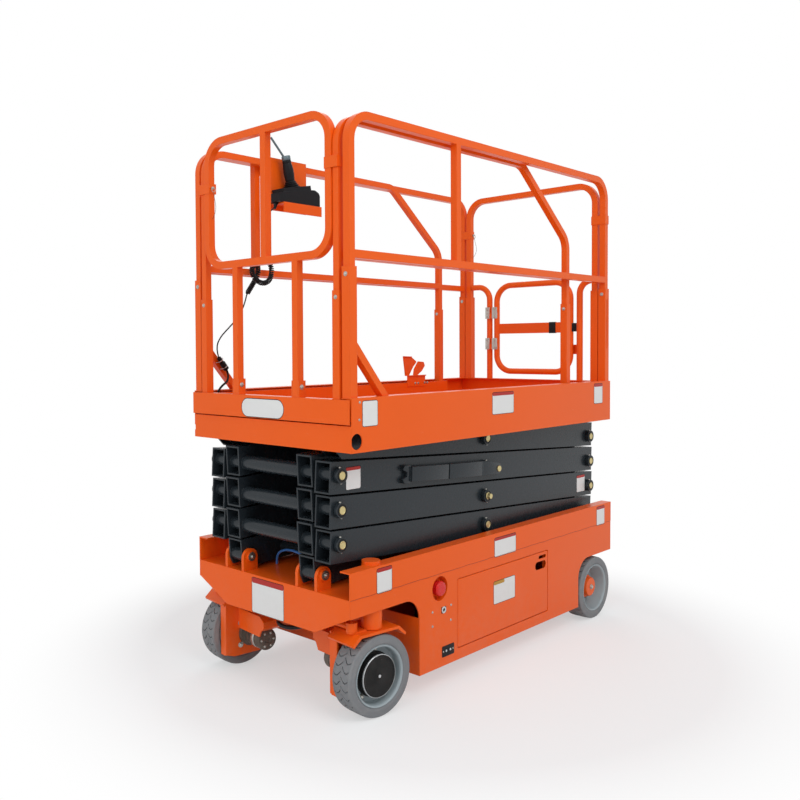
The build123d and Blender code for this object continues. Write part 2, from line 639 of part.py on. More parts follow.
# ---------------------------------------------------------------- steering
def knuckle():
    """Left steering knuckle, straight ahead, with the kingpin on the Z axis through the origin's x and y."""
    plate_y = (-KNUCKLE_SIDE - 8, -KNUCKLE_SIDE)
    top = (KNUCKLE_TOP_Z - KNUCKLE_PLATE, KNUCKLE_TOP_Z)
    wing = [
        (84, top[0]),
        (118, top[0] - 28),
        (123, top[0] - 20),
        (90, top[1]),
        (-90, top[1]),
        (-123, top[0] - 20),
        (-118, top[0] - 28),
        (-84, top[0]),
    ]
    shape = slab_xz(wing, (-KNUCKLE_SIDE - 8, TYRE_WIDTH / 2))
    shape += slab_xz(
        [(-70, top[0]), (112, top[0]), (112, 70), (70, 58), (-48, 58), (-70, 110)],
        plate_y,
    )
    shape += block((104, 112), (-KNUCKLE_SIDE, -KNUCKLE_SIDE + 31), (67, top[0] - 22))
    shape += bar_z(KINGPIN_RADIUS, (top[1], DECK_TOP - PLATE - 8), 0, 0)
    shape += bar_y(SPINDLE_RADIUS, (-KNUCKLE_SIDE, TYRE_WIDTH / 2 - 14), 0, WHEEL_RADIUS)
    shape += bar_y(46, (-KNUCKLE_SIDE, -KNUCKLE_SIDE + 12), 0, WHEEL_RADIUS)
    # box arm over the motor
    shape += slab_yz(
        [
            (plate_y[0], 250),
            (plate_y[0] - 150, 250),
            (plate_y[0] - 176, 232),
            (plate_y[0] - 176, 206),
            (plate_y[0] - 150, 190),
            (plate_y[0], 190),
        ],
        (-34, ARM_SKIRT[1]),
    )
    shape += slab_yz(
        [
            (plate_y[0], 195),
            (plate_y[0] - 158, 195),
            (plate_y[0] - 146, ARM_SKIRT_Z),
            (plate_y[0], ARM_SKIRT_Z),
        ],
        ARM_SKIRT,
    )
    # steering arm, forward over the tyre
    arm_top = TIE_ROD_Z - TIE_END_HEIGHT / 2 - 1
    shape += block((0, ARM_LENGTH), (-18, 18), (top[1], arm_top)) - bar_z(
        HOUSING_RADIUS + 3, (top[1], arm_top), 0, 0
    )
    shape += bar_z(18, (top[1], arm_top), ARM_LENGTH, 0)
    shape += bar_z(BALL_PIN_RADIUS, (arm_top, TIE_ROD_Z + TIE_ROD_RADIUS + 6), ARM_LENGTH, 0)
    return shape


def motor():
    """Left drive motor, straight ahead, behind the side plate."""
    near = -KNUCKLE_SIDE - 8
    shape = bar_y(52, (near - 14, near), 0, WHEEL_RADIUS)
    shape += bar_y(MOTOR_RADIUS - 7, (near - 42, near - 14), 0, WHEEL_RADIUS)
    shape += bar_y(MOTOR_RADIUS, (near - MOTOR_LENGTH, near - 42), 0, WHEEL_RADIUS)
    return shape - block((-34, 46), (near - 200, near), (190, 250))


def steered(shape, side):
    """Put a straight-ahead piece at its kingpin, turned to the stored steering angle."""
    if side < 0:
        shape = mirrored(shape)
    return Pos(FRONT_AXLE_X, side * TRACK_HALF, 0) * Rot(0, 0, STEER_REST) * shape


# ---------------------------------------------------------------- wheels
def tyre():
    """Solid tyre about the Y axis, with rounded shoulders."""
    half = TYRE_WIDTH / 2
    section = Pos((RIM_RADIUS + WHEEL_RADIUS) / 2, 0) * Rectangle(WHEEL_RADIUS - RIM_RADIUS, TYRE_WIDTH)
    outer = [v for v in section.vertices() if v.X > (RIM_RADIUS + WHEEL_RADIUS) / 2]
    section = fillet(outer, min(TYRE_SHOULDER, half - 1))
    return Pos(0, 0, WHEEL_RADIUS) * revolve(section, Axis.Y)


def wheel_centre(profile):
    """Wheel centre about the Y axis from (radius, y) corners."""
    section = make_face(Polyline(*profile, close=True))
    return Pos(0, 0, WHEEL_RADIUS) * revolve(section, Axis.Y)


def front_wheel():
    """Driven wheel: ring, web and a broad hub with its cap."""
    half = TYRE_WIDTH / 2
    bore = SPINDLE_RADIUS + PIN_GAP
    return wheel_centre(
        [
            (bore, -half + 4),
            (RIM_RADIUS, -half + 4),
            (RIM_RADIUS, half - 3),
            (RIM_RADIUS - RIM_WALL, half - 3),
            (RIM_RADIUS - RIM_WALL - 6, -half + 40),
            (HUB_CAP_RADIUS, -half + 36),
            (HUB_CAP_RADIUS, half - 6),
            (HUB_CAP_RADIUS - 3, half - 2),
            (0.0, half - 2),
            (0.0, half - 13),
            (bore, half - 13),
        ]
    )


def rear_wheel():
    """Free wheel: deep dish with a stepped hub."""
    half = TYRE_WIDTH / 2
    bore = SPINDLE_RADIUS + PIN_GAP
    return wheel_centre(
        [
            (bore, -half + 4),
            (RIM_RADIUS, -half + 4),
            (RIM_RADIUS, half - 3),
            (RIM_RADIUS - RIM_WALL, half - 3),
            (RIM_RADIUS - RIM_WALL - 8, -half + 18),
            (REAR_HUB_RADIUS, -half + 16),
            (REAR_HUB_RADIUS - 12, half - 36),
            (34.0, half - 36),
            (31.0, half - 18),
            (0.0, half - 16),
            (0.0, 10.0),
            (bore, 10.0),
        ]
    )


for side, name in ((1, "left"), (-1, "right")):
    parts[f"knuckle_{name}"] = steered(knuckle(), side)
    parts[f"drive_motor_{name}"] = steered(motor(), side)
    parts[f"tyre_front_{name}"] = steered(tyre(), side)
    parts[f"wheel_front_{name}"] = steered(front_wheel(), side)
    rear_shapes = {"tyre_rear": tyre(), "wheel_rear": rear_wheel()}
    for stem, shape in rear_shapes.items():
        placed = shape if side > 0 else mirrored(shape)
        parts[f"{stem}_{name}"] = Pos(REAR_AXLE_X, side * TRACK_HALF, 0) * placed

steer = math.radians(STEER_REST)
tie_x = FRONT_AXLE_X + ARM_LENGTH * math.cos(steer)
tie_y = ARM_LENGTH * math.sin(steer)
rod_half = TRACK_HALF - TIE_END_RADIUS + 4
tie_rod = bar_y(TIE_ROD_RADIUS, (tie_y - rod_half, tie_y + rod_half), tie_x, TIE_ROD_Z)
end_z = (TIE_ROD_Z - TIE_END_HEIGHT / 2, TIE_ROD_Z + TIE_END_HEIGHT / 2)
for side in (1, -1):
    end_y = tie_y + side * TRACK_HALF
    tie_rod += bar_z(TIE_END_RADIUS, end_z, tie_x, end_y)
    tie_rod -= bar_z(BALL_PIN_RADIUS + PIN_GAP, end_z, tie_x, end_y)
parts["tie_rod"] = tie_rod

# ---------------------------------------------------------------- scissor
PIN_SPAN = FRONT_PIN_X - REAR_PIN_X
BEAM_LENGTH = math.hypot(PIN_SPAN, PITCH)
REST_ANGLE = math.degrees(math.atan2(PITCH, PIN_SPAN))
TILT = math.degrees(math.atan2(2 * BEAM_OFFSET, BEAM_LENGTH))


def beam(near_y, trim_low, trim_high):
    """Hollow beam from its low pin at s = 0 to its high pin at s = BEAM_LENGTH, along +X and lying flat.

    The tube is tipped by TILT, so that each end pin is off its middle line. The bushes are part of it.
    """
    middle = (BEAM_LENGTH / 2, 0)
    full = BEAM_LENGTH + 2 * BEAM_OVERHANG
    far_y = near_y + BEAM_WIDTH
    outline = Pos(*middle) * Rot(0, 0, -TILT) * Rectangle(full, BEAM_HEIGHT)
    core = Pos(*middle) * Rot(0, 0, -TILT) * Rectangle(full + 20, BEAM_HEIGHT - 2 * BEAM_WALL)
    shape = upright(outline, (near_y, far_y))
    shape -= upright(core, (near_y + BEAM_WALL, far_y - BEAM_WALL))
    for s in (0.0, BEAM_LENGTH / 2, BEAM_LENGTH):
        shape += bar_y(BUSH_RADIUS, (near_y, far_y), s, 0)
    for s, trim, down in ((0.0, trim_low, -1), (BEAM_LENGTH, trim_high, 1)):
        if trim:
            end = -1 if s == 0.0 else 1
            corner = [
                (s + end * END_REACH, -down * 120),
                (s + end * END_REACH, down * 12),
                (s + end * 16, down * END_TRIM),
                (s - end * 16, down * END_TRIM),
                (s - end * 60, down * (BEAM_HEIGHT / 2 - BEAM_OFFSET + 4)),
                (s - end * 60, down * 120),
                (s + end * (BEAM_OVERHANG + 40), down * 120),
                (s + end * (BEAM_OVERHANG + 40), -down * 120),
            ]
            shape -= slab_xz(corner, (near_y - 1, far_y + 1))
    return shape


def bore(shape, near_y, places):
    """Open the beam's bushes for pins that turn in them."""
    for s in places:
        shape -= bar_y(PIN_RADIUS + PIN_GAP, (near_y - 1, near_y + BEAM_WIDTH + 1), s, 0)
    return shape


def pin_set(s, y_from, y_to):
    """Solid pin with the collar that keeps it on, outboard."""
    shape = bar_y(PIN_RADIUS, (y_from, y_to), s, 0)
    shape += bar_y(COLLAR_RADIUS, (y_to - COLLAR_LENGTH, y_to), s, 0)
    return shape


def laid(shape, inner, stage):
    """Turn a flat link to its stored angle and put it at its stage. stage counts from 1 at the bottom."""
    low_z = BASE_PIN_Z + (stage - 1) * PITCH
    if inner:
        return Pos(FRONT_PIN_X, 0, low_z) * Rot(0, REST_ANGLE, 0) * mirror(shape, Plane.YZ)
    return Pos(REAR_PIN_X, 0, low_z) * Rot(0, -REST_ANGLE, 0) * shape


outer_out = OUTER_Y + BEAM_WIDTH
pin_end = outer_out + 2 + COLLAR_LENGTH
for stage in range(1, STAGES + 1):
    first = stage == 1
    last = stage == STAGES
    inner = beam(INNER_Y, first, last)
    if first:
        inner = bore(inner, INNER_Y, [0.0])
    inner += pin_set(BEAM_LENGTH / 2, INNER_Y + BEAM_WIDTH, pin_end)
    if not first:
        inner += pin_set(0.0, INNER_Y + BEAM_WIDTH, pin_end)
    if not last:
        inner += pin_set(BEAM_LENGTH, INNER_Y + BEAM_WIDTH, pin_end)
    else:
        inner += bar_y(PIN_RADIUS, (INNER_Y + BEAM_WIDTH, INNER_Y + BEAM_WIDTH + 8 + ROLLER_WIDTH), BEAM_LENGTH, 0)
    inner = both_sides(inner)
    tube_places = [BEAM_LENGTH] if first else [0.0, BEAM_LENGTH]
    for s in tube_places:
        inner += bar_y(CROSS_TUBE_RADIUS, (-INNER_Y, INNER_Y), s, 0)
    if first:
        inner += bar_y(MOUNT_TUBE_RADIUS, (-INNER_Y, INNER_Y), CYLINDER_BASE, CYLINDER_DROP)
    if stage == 2:
        clevis_top = CYLINDER_LIFT + EYE_RADIUS + 30
        for side in (1, -1):
            ear_y = sorted((side * (EYE_RADIUS + 8), side * (EYE_RADIUS + 20)))
            inner += block(
                (CYLINDER_EYE - 30, CYLINDER_EYE + 30), ear_y, (CYLINDER_LIFT - 30, clevis_top)
            )
        inner += block(
            (CYLINDER_EYE - 30, CYLINDER_EYE + 30), (-INNER_Y, INNER_Y), (clevis_top - 12, clevis_top)
        )
        for side in (1, -1):
            arm_y = sorted((side * (INNER_Y - 12), side * INNER_Y))
            inner += block((CYLINDER_EYE - 30, CYLINDER_EYE + 30), arm_y, (0, clevis_top))
    parts[f"inner_link_{stage}"] = laid(inner, True, stage)

    outer = beam(OUTER_Y, first, last)
    if last:
        swing = Pos(BEAM_LENGTH, 0) * Rot(0, 0, -LIFT_TRAVEL - REST_ANGLE) * Pos(SWING_CLEAR + 100, 0) * Rectangle(200, 400)
        outer -= upright(swing, (OUTER_Y, outer_out))
    open_places = [0.0, BEAM_LENGTH / 2, BEAM_LENGTH]
    if first:
        open_places = open_places[1:]
    outer = bore(outer, OUTER_Y, open_places)
    if first:
        outer += bar_y(PIN_RADIUS, (outer_out, outer_out + 78), 0.0, 0)
    if stage == 3:
        outer += block(PROP_BAR_RUN, (outer_out, outer_out + 7), (-20, 7))
    parts[f"outer_link_{stage}"] = laid(both_sides(outer), False, stage)


def roller(x, y, z):
    """Flanged track roller on its axle, left side."""
    shape = bar_y(ROLLER_RADIUS, y, x, z)
    return shape - bar_y(PIN_RADIUS + 0.3, y, x, z)


top_pin_z = BASE_PIN_Z + STAGES * PITCH
base_roller_y = (CHASSIS_HALF_WIDTH - 50, CHASSIS_HALF_WIDTH - 50 + ROLLER_WIDTH)
parts["base_rollers"] = both_sides(roller(REAR_PIN_X, base_roller_y, BASE_PIN_Z))
top_roller_y = (INNER_Y + BEAM_WIDTH + 5, INNER_Y + BEAM_WIDTH + 5 + ROLLER_WIDTH)
parts["top_rollers"] = both_sides(roller(REAR_PIN_X, top_roller_y, top_pin_z))

# ---------------------------------------------------------------- lift cylinder
rest = math.radians(REST_ANGLE)


def on_inner(stage, s, t):
    """Point (x, z) on an inner link, s along it from its low front pin and t off its pin line."""
    x = FRONT_PIN_X - s * math.cos(rest) + t * math.sin(rest)
    z = BASE_PIN_Z + (stage - 1) * PITCH + s * math.sin(rest) + t * math.cos(rest)
    return x, z


base_x, base_z = on_inner(1, CYLINDER_BASE, CYLINDER_DROP)
eye_x, eye_z = on_inner(2, CYLINDER_EYE, CYLINDER_LIFT)
stroke_length = math.hypot(base_x - eye_x, eye_z - base_z)
cylinder_angle = math.degrees(math.atan2(eye_z - base_z, base_x - eye_x))


def along_cylinder(shape):
    """Lay a piece that runs along -X from the base pin onto the cylinder's line."""
    return Pos(base_x, 0, base_z) * Rot(0, cylinder_angle, 0) * shape


barrel_end = stroke_length - EYE_RADIUS - 26
barrel = bar_x(BARREL_RADIUS, (-barrel_end, -MOUNT_TUBE_RADIUS - 14), 0, 0)
barrel += block((-70, 0), (-EYE_RADIUS, EYE_RADIUS), (-EYE_RADIUS, EYE_RADIUS))
barrel += bar_y(EYE_RADIUS, (-EYE_RADIUS, EYE_RADIUS), 0, 0)
barrel += bar_x(BARREL_RADIUS + 5, (-barrel_end, -barrel_end + 46), 0, 0)
barrel -= bar_y(MOUNT_TUBE_RADIUS + PIN_GAP, (-EYE_RADIUS, EYE_RADIUS), 0, 0)
barrel -= bar_x(ROD_RADIUS + PIN_GAP, (-barrel_end, -80), 0, 0)
parts["lift_barrel"] = along_cylinder(barrel)

piston = bar_x(ROD_RADIUS, (-stroke_length + 20, -84), 0, 0)
piston += bar_y(EYE_RADIUS, (-EYE_RADIUS, EYE_RADIUS), -stroke_length, 0)
piston += bar_y(14, (-EYE_RADIUS - 6, EYE_RADIUS + 6), -stroke_length, 0)
parts["lift_rod"] = along_cylinder(piston)

# ---------------------------------------------------------------- platform
width = PLATFORM_HALF_WIDTH
skirt = block((PLATFORM_REAR, PLATFORM_FRONT), (width - SHEET, width), (SKIRT_BOTTOM, SKIRT_TOP))
skirt += block(
    (PLATFORM_REAR, PLATFORM_FRONT), (width - SKIRT_FLANGE, width - SHEET), (SKIRT_TOP - SHEET, SKIRT_TOP)
)
skirt += block(
    (PLATFORM_REAR, PLATFORM_FRONT),
    (width - SKIRT_FLANGE, width - SHEET),
    (SKIRT_BOTTOM, SKIRT_BOTTOM + SHEET),
)
skirt -= bar_y(TIE_HOLE_RADIUS, (width - SHEET, width), TIE_HOLE_X, TIE_HOLE_Z)
frame = both_sides(skirt)
inner_half = width - SHEET
frame += block((PLATFORM_FRONT - SHEET, PLATFORM_FRONT), (-inner_half, inner_half), (SKIRT_BOTTOM, FRONT_SKIRT_TOP))
frame += block(
    (PLATFORM_REAR, PLATFORM_REAR + SHEET), (-inner_half, inner_half), (FLOOR_TOP - SHEET, SKIRT_TOP)
)
frame += block(
    (PLATFORM_REAR + SHEET, PLATFORM_REAR + 40),
    (-inner_half + SKIRT_FLANGE, inner_half - SKIRT_FLANGE),
    (SKIRT_TOP - SHEET, SKIRT_TOP),
)
frame += block(
    (PLATFORM_REAR + SHEET, PLATFORM_FRONT - SHEET), (-inner_half, inner_half), (FLOOR_TOP - SHEET, FLOOR_TOP)
)
floor_under = FLOOR_TOP - SHEET
track_y = (top_roller_y[0] - 3, top_roller_y[1] + 3)
frame += both_sides(
    block((PLATFORM_REAR + 10, -120.0), track_y, (top_pin_z + ROLLER_RADIUS + 1, floor_under))
)
top_ears = (
    (OUTER_Y - ear_gap - 8, OUTER_Y - ear_gap),
    (outer_out + ear_gap, outer_out + ear_gap + 12),
)
for row in top_ears:
    ear = block((FRONT_PIN_X - 32, FRONT_PIN_X + 32), row, (top_pin_z, floor_under))
    ear += bar_y(32, row, FRONT_PIN_X, top_pin_z)
    frame += both_sides(ear)
frame += both_sides(bar_y(PIN_RADIUS, (top_ears[0][0] - 4, top_ears[1][1] + 6), FRONT_PIN_X, top_pin_z))


def sleeve(x, y, size, bore_size, z):
    """Square socket post, hollow from the height of the tube's foot."""
    post = block((x - size / 2, x + size / 2), (y - size / 2, y + size / 2), z)
    half = bore_size / 2
    return post - block((x - half, x + half), (y - half, y + half), (TUBE_FOOT, z[1]))


post_bore = TUBE + 2 * SLEEVE_GAP
for x in MAIN_POSTS:
    post = sleeve(x, MAIN_Y, SLEEVE, post_bore, (SKIRT_TOP, SLEEVE_TOP))
    if x < 0:
        slot_x = (x - SLOT_WIDTH / 2, x + SLOT_WIDTH / 2)
        post -= block(slot_x, (MAIN_Y + post_bore / 2, MAIN_Y + SLEEVE / 2), SLOT_Z)
    frame += both_sides(post)
rear_inner_post = sleeve(MAIN_POSTS[1], REAR_LOOP_Y, SLEEVE, post_bore, (SKIRT_TOP, SLEEVE_TOP - 6))
frame += both_sides(rear_inner_post)
brace_x = MAIN_POSTS[0] - SLEEVE / 2
brace = slab_xz(
    [
        (brace_x, SKIRT_TOP + BRACE_RISE),
        (brace_x, SKIRT_TOP + BRACE_RISE - 42),
        (brace_x - BRACE_RUN + 34, SKIRT_TOP),
        (brace_x - BRACE_RUN, SKIRT_TOP),
    ],
    (MAIN_Y - TUBE / 2, MAIN_Y + TUBE / 2),
)
frame += both_sides(brace)
parts["platform_frame"] = frame

rail_z = RAIL_HEIGHT - TUBE / 2
frames = []
for side in (1, -1):
    y = side * MAIN_Y
    hoop = square_bar(
        [
            (MAIN_POSTS[0], y, TUBE_FOOT),
            (MAIN_POSTS[0], y, rail_z),
            (MAIN_POSTS[1], y, rail_z),
            (MAIN_POSTS[1], y, TUBE_FOOT),
        ],
        RAIL_BEND,
        TUBE,
        (0, 1, 0),
    )
    tube_y = (y - TUBE / 2, y + TUBE / 2)
    hoop += block(
        (MAIN_POSTS[1] + TUBE / 2, MAIN_POSTS[0] - TUBE / 2),
        tube_y,
        (MID_RAIL_Z - TUBE / 2, MID_RAIL_Z + TUBE / 2),
    )
    post_x = MID_POST_X[side]
    hoop += block(
        (post_x - TUBE / 2, post_x + TUBE / 2), tube_y, (MID_RAIL_Z + TUBE / 2, rail_z - TUBE / 2)
    )
    frames.append(hoop)
parts["main_guardrails"] = frames[0] + frames[1]

loop_x = MAIN_POSTS[1]
loop_top = REAR_LOOP_TOP - TUBE / 2
rear_guard = square_bar(
    [
        (loop_x, -REAR_LOOP_Y, TUBE_FOOT),
        (loop_x, -REAR_LOOP_Y, loop_top),
        (loop_x, REAR_LOOP_Y, loop_top),
        (loop_x, REAR_LOOP_Y, TUBE_FOOT),
    ],
    RAIL_BEND,
    TUBE,
    (1, 0, 0),
)
collar_hold = TUBE / 2 + SLEEVE_GAP
for side in (1, -1):
    collar_y = sorted((side * (REAR_LOOP_Y - TUBE / 2 - STRAP_WRAP), side * (MAIN_Y + collar_hold + STRAP_WRAP)))
    collar_x = (loop_x - collar_hold - STRAP_WRAP, loop_x + collar_hold + STRAP_WRAP)
    held_y = sorted((side * (MAIN_Y - collar_hold), side * (MAIN_Y + collar_hold)))
    collar = block(collar_x, collar_y, REAR_COLLAR_Z)
    rear_guard += collar - block((loop_x - collar_hold, loop_x + collar_hold), held_y, REAR_COLLAR_Z)
parts["rear_guardrail"] = rear_guard
half_rails = []
for y, side in ((GATE_POST_Y[0], -1), (GATE_POST_Y[1], 1)):
    start_y = side * (REAR_LOOP_Y - SLEEVE / 2)
    bend = min(GATE_POST_BEND, abs(start_y - y) - 4)
    half_rails.append(
        round_bar(
            [(GATE_X, start_y, HALF_RAIL_Z), (GATE_X, y, HALF_RAIL_Z), (GATE_X, y, SKIRT_TOP)],
            bend,
            GATE_TUBE,
        )
    )
stop_x = (GATE_X - GATE_TUBE - 7, GATE_X - GATE_TUBE - 1)
half_rails[1] += block(stop_x, (GATE_Y[1] - 12, GATE_POST_Y[1]), STOP_PLATE_Z)
half_rails[1] += block(
    (stop_x[0], GATE_X), (GATE_POST_Y[1] - GATE_TUBE - 2, GATE_POST_Y[1] - GATE_TUBE + 4), STOP_PLATE_Z
)
hinge_y = (GATE_POST_Y[0] + GATE_Y[0]) / 2
hinge_x = GATE_X + HINGE_FORWARD
leaf_x = (hinge_x + 1, hinge_x + HINGE_RADIUS)
for z in HINGE_Z:
    low_leaf = (z - HINGE_HEIGHT / 2, z - 1)
    half_rails[0] += bar_z(HINGE_RADIUS, low_leaf, hinge_x, hinge_y)
    half_rails[0] += bar_z(HINGE_PIN, (z - 2, z + HINGE_HEIGHT / 2 + 2), hinge_x, hinge_y)
    half_rails[0] += block(leaf_x, (GATE_POST_Y[0] - 14, hinge_y), low_leaf)
    half_rails[0] += block((GATE_X, leaf_x[0]), (GATE_POST_Y[0] - 9, GATE_POST_Y[0] + 9), low_leaf)
parts["gate_posts"] = half_rails[0] + half_rails[1]

# ---------------------------------------------------------------- entry gate
gate = rectangle_loop(
    (GATE_Y[0], GATE_Z[0]),
    (GATE_Y[1], GATE_Z[1]),
    GATE_BEND,
    Circle(GATE_TUBE),
    lambda c: (GATE_X, c[0], c[1]),
)
bar_x_range = (GATE_X - 4, GATE_X + 4)
gate += block(bar_x_range, (GATE_Y[0] + GATE_TUBE - 4, GATE_Y[1] - GATE_TUBE + 4), GATE_BAR_Z)
for z in HINGE_Z:
    high_leaf = (z + 1, z + HINGE_HEIGHT / 2)
    leaf = bar_z(HINGE_RADIUS, high_leaf, hinge_x, hinge_y)
    leaf += block(leaf_x, (hinge_y, GATE_Y[0] + 14), high_leaf)
    leaf += block((GATE_X, leaf_x[0]), (GATE_Y[0] - 9, GATE_Y[0] + 9), high_leaf)
    gate += leaf - bar_z(HINGE_PIN + PIN_GAP, high_leaf, hinge_x, hinge_y)
parts["entry_gate"] = gate

# ---------------------------------------------------------------- extension deck
ext = block((EXT_REAR, EXT_FRONT - SHEET), (-EXT_Y + 18, EXT_Y - 18), EXT_FLOOR)
ext += block((EXT_FRONT - SHEET, EXT_FRONT), (-EXT_HALF_WIDTH, EXT_HALF_WIDTH), EXT_SKIRT)
ext += block(
    (EXT_FRONT - 40, EXT_FRONT - SHEET),
    (-EXT_Y + 18, EXT_Y - 18),
    (EXT_SKIRT[1] - SHEET, EXT_SKIRT[1]),
)
for side in (1, -1):
    toe_y = sorted((side * (EXT_Y - 18), side * (EXT_Y - 18 + SHEET)))
    ext += block((EXT_REAR, EXT_FRONT - SHEET), toe_y, (EXT_SKIRT[0], EXT_TOE))


def ext_sleeve(x, y, z):
    """Square socket post of the extension."""
    half = EXT_SLEEVE / 2
    post = block((x - half, x + half), (y - half, y + half), z)
    bore_half = EXT_TUBE / 2 + SLEEVE_GAP
    return post - block((x - bore_half, x + bore_half), (y - bore_half, y + bore_half), (TUBE_FOOT, z[1]))


for side in (1, -1):
    for x in (EXT_POST_X, EXT_REAR_POST_X):
        ext += ext_sleeve(x, side * EXT_Y, (EXT_SKIRT[0] + 8, EXT_SLEEVE_TOP))
    leg_half = LEG_SOCKET / 2
    leg_y = side * LEG_Y
    socket = block(
        (LOOP_X - leg_half, min(LOOP_X + leg_half, EXT_FRONT - SHEET)),
        (leg_y - leg_half, leg_y + leg_half),
        (EXT_SKIRT[1], LEG_SOCKET_TOP),
    )
    bore_half = TUBE / 2 + SLEEVE_GAP
    socket -= block(
        (LOOP_X - bore_half, LOOP_X + bore_half),
        (leg_y - bore_half, leg_y + bore_half),
        (EXT_SKIRT[1] + 4, LEG_SOCKET_TOP),
    )
    ext += socket
toe_face = -(EXT_Y - 18)
pedal_plate_y = (toe_face, toe_face + PEDAL_SHEET)
ext += block(PEDAL_BRACKET_X, pedal_plate_y, PEDAL_BRACKET_Z)
ext += block(
    PEDAL_BRACKET_X, (toe_face, toe_face + PEDAL_DEPTH), (PEDAL_BRACKET_Z[1] - PEDAL_SHEET, PEDAL_BRACKET_Z[1])
)
for petal, petal_y in (
    (FRONT_PETAL, pedal_plate_y),
    (REAR_PETAL, (toe_face + PEDAL_DEPTH - PEDAL_SHEET, toe_face + PEDAL_DEPTH)),
):
    petal_face = make_face(Polyline(*petal, close=True))
    ext += upright(fillet(petal_face.vertices(), PETAL_ROUND), petal_y)
top_edge = FRONT_PETAL[0:2]
ext += slab_xz([*top_edge, (top_edge[1][0], top_edge[1][1] - 5), (top_edge[0][0] - 6, top_edge[0][1] - 5)],
               (toe_face, toe_face + PEDAL_DEPTH))
parts["extension_deck"] = ext

ext_top = EXT_RAIL_HEIGHT - EXT_TUBE / 2
frames = []
for side in (1, -1):
    y = side * EXT_Y
    hoop = square_bar(
        [
            (EXT_POST_X, y, TUBE_FOOT),
            (EXT_POST_X, y, ext_top),
            (EXT_BEND_X, y, ext_top),
            (EXT_REAR_POST_X, y, EXT_BEND_Z),
            (EXT_REAR_POST_X, y, TUBE_FOOT),
        ],
        RAIL_BEND,
        EXT_TUBE,
        (0, 1, 0),
    )
    hoop += block(
        (EXT_REAR_POST_X + EXT_TUBE / 2, EXT_POST_X - EXT_TUBE / 2),
        (y - EXT_TUBE / 2, y + EXT_TUBE / 2),
        (MID_RAIL_Z - EXT_TUBE / 2, MID_RAIL_Z + EXT_TUBE / 2),
    )
    frames.append(hoop)
parts["extension_guardrails"] = frames[0] + frames[1]

loop = rectangle_loop(
    (-LOOP_HALF_WIDTH, LOOP_Z[0]),
    (LOOP_HALF_WIDTH, LOOP_Z[1]),
    LOOP_BEND,
    Rectangle(TUBE, TUBE),
    lambda c: (LOOP_X, c[0], c[1]),
)
half = TUBE / 2
strap_hold = EXT_TUBE / 2 + SLEEVE_GAP
loop += block(
    (LOOP_X - half, LOOP_X + half), (-half, half), (LOOP_Z[0] + half, LOOP_Z[1] - half)
)
for side in (1, -1):
    loop += block(
        (LOOP_X - half, LOOP_X + half),
        (side * LEG_Y - half, side * LEG_Y + half),
        (EXT_SKIRT[1] + 4, LOOP_Z[0] - half),
    )
    strap_y = sorted((side * (LOOP_HALF_WIDTH - half - STRAP_WRAP), side * (EXT_Y + strap_hold + STRAP_WRAP)))
    strap = block((EXT_POST_X - strap_hold - STRAP_WRAP, LOOP_X + half + STRAP_WRAP), strap_y, STRAP_Z)
    loop += strap - block(
        (EXT_POST_X - strap_hold, EXT_POST_X + strap_hold),
        sorted((side * (EXT_Y - strap_hold), side * (EXT_Y + strap_hold))),
        STRAP_Z,
    )
parts["front_guardrail"] = loop

# ---------------------------------------------------------------- control box
plate_y = (EXT_Y - EXT_TUBE / 2 - MOVE_GAP - BRACKET_PLATE, EXT_Y - EXT_TUBE / 2 - MOVE_GAP)
hook_y = MAIN_Y + TUBE / 2
hook_top = RAIL_HEIGHT + SHEET
bracket = block(BRACKET_X, (-plate_y[1], -plate_y[0]), (RAIL_HEIGHT - BRACKET_DEPTH, hook_top))
bracket += block(BRACKET_X, (-hook_y, -plate_y[1]), (RAIL_HEIGHT, hook_top))
bracket += block(BRACKET_X, (-hook_y - SHEET, -hook_y), (RAIL_HEIGHT - 60, hook_top))
bracket += block(TRAY_X, (-plate_y[0], BOX_Y[1] + SHEET), (BOX_Z - TRAY_THICKNESS, BOX_Z))
bracket += block(
    TRAY_X, (BOX_Y[1], BOX_Y[1] + SHEET), (BOX_Z - TRAY_THICKNESS - TRAY_LIP, BOX_Z - TRAY_THICKNESS)
)
parts["control_bracket"] = bracket

box_side = make_face(
    Polyline(
        (BOX_FRONT, BOX_Z),
        (BOX_FRONT, BOX_Z + BOX_NOSE),
        (BOX_REAR + 80, BOX_Z + BOX_HUMP - 4),
        (BOX_REAR + 30, BOX_Z + BOX_HUMP),
        (BOX_REAR, BOX_Z + BOX_HUMP - 12),
        (BOX_REAR, BOX_Z),
        close=True,
    )
)
hump_corners = box_side.vertices().sort_by_distance((BOX_REAR, BOX_Z + BOX_HUMP, 0))[0:2]
control = upright(fillet(hump_corners, BOX_HUMP_ROUND), BOX_Y)
plate_slope = math.atan2(BOX_HUMP - 4 - BOX_NOSE, BOX_FRONT - BOX_REAR - 80)
plate_x = (CONTROL_PLATE_X[0] + CONTROL_PLATE_X[1]) / 2
plate_z = BOX_Z + BOX_NOSE + (BOX_FRONT - plate_x) * math.tan(plate_slope)
lid = Box(CONTROL_PLATE_X[1] - CONTROL_PLATE_X[0], BOX_Y[1] - BOX_Y[0] - 6, 2 * CONTROL_PLATE_RISE)
control += Pos(plate_x, BOX_MIDDLE_Y, plate_z) * Rot(0, math.degrees(plate_slope), 0) * lid

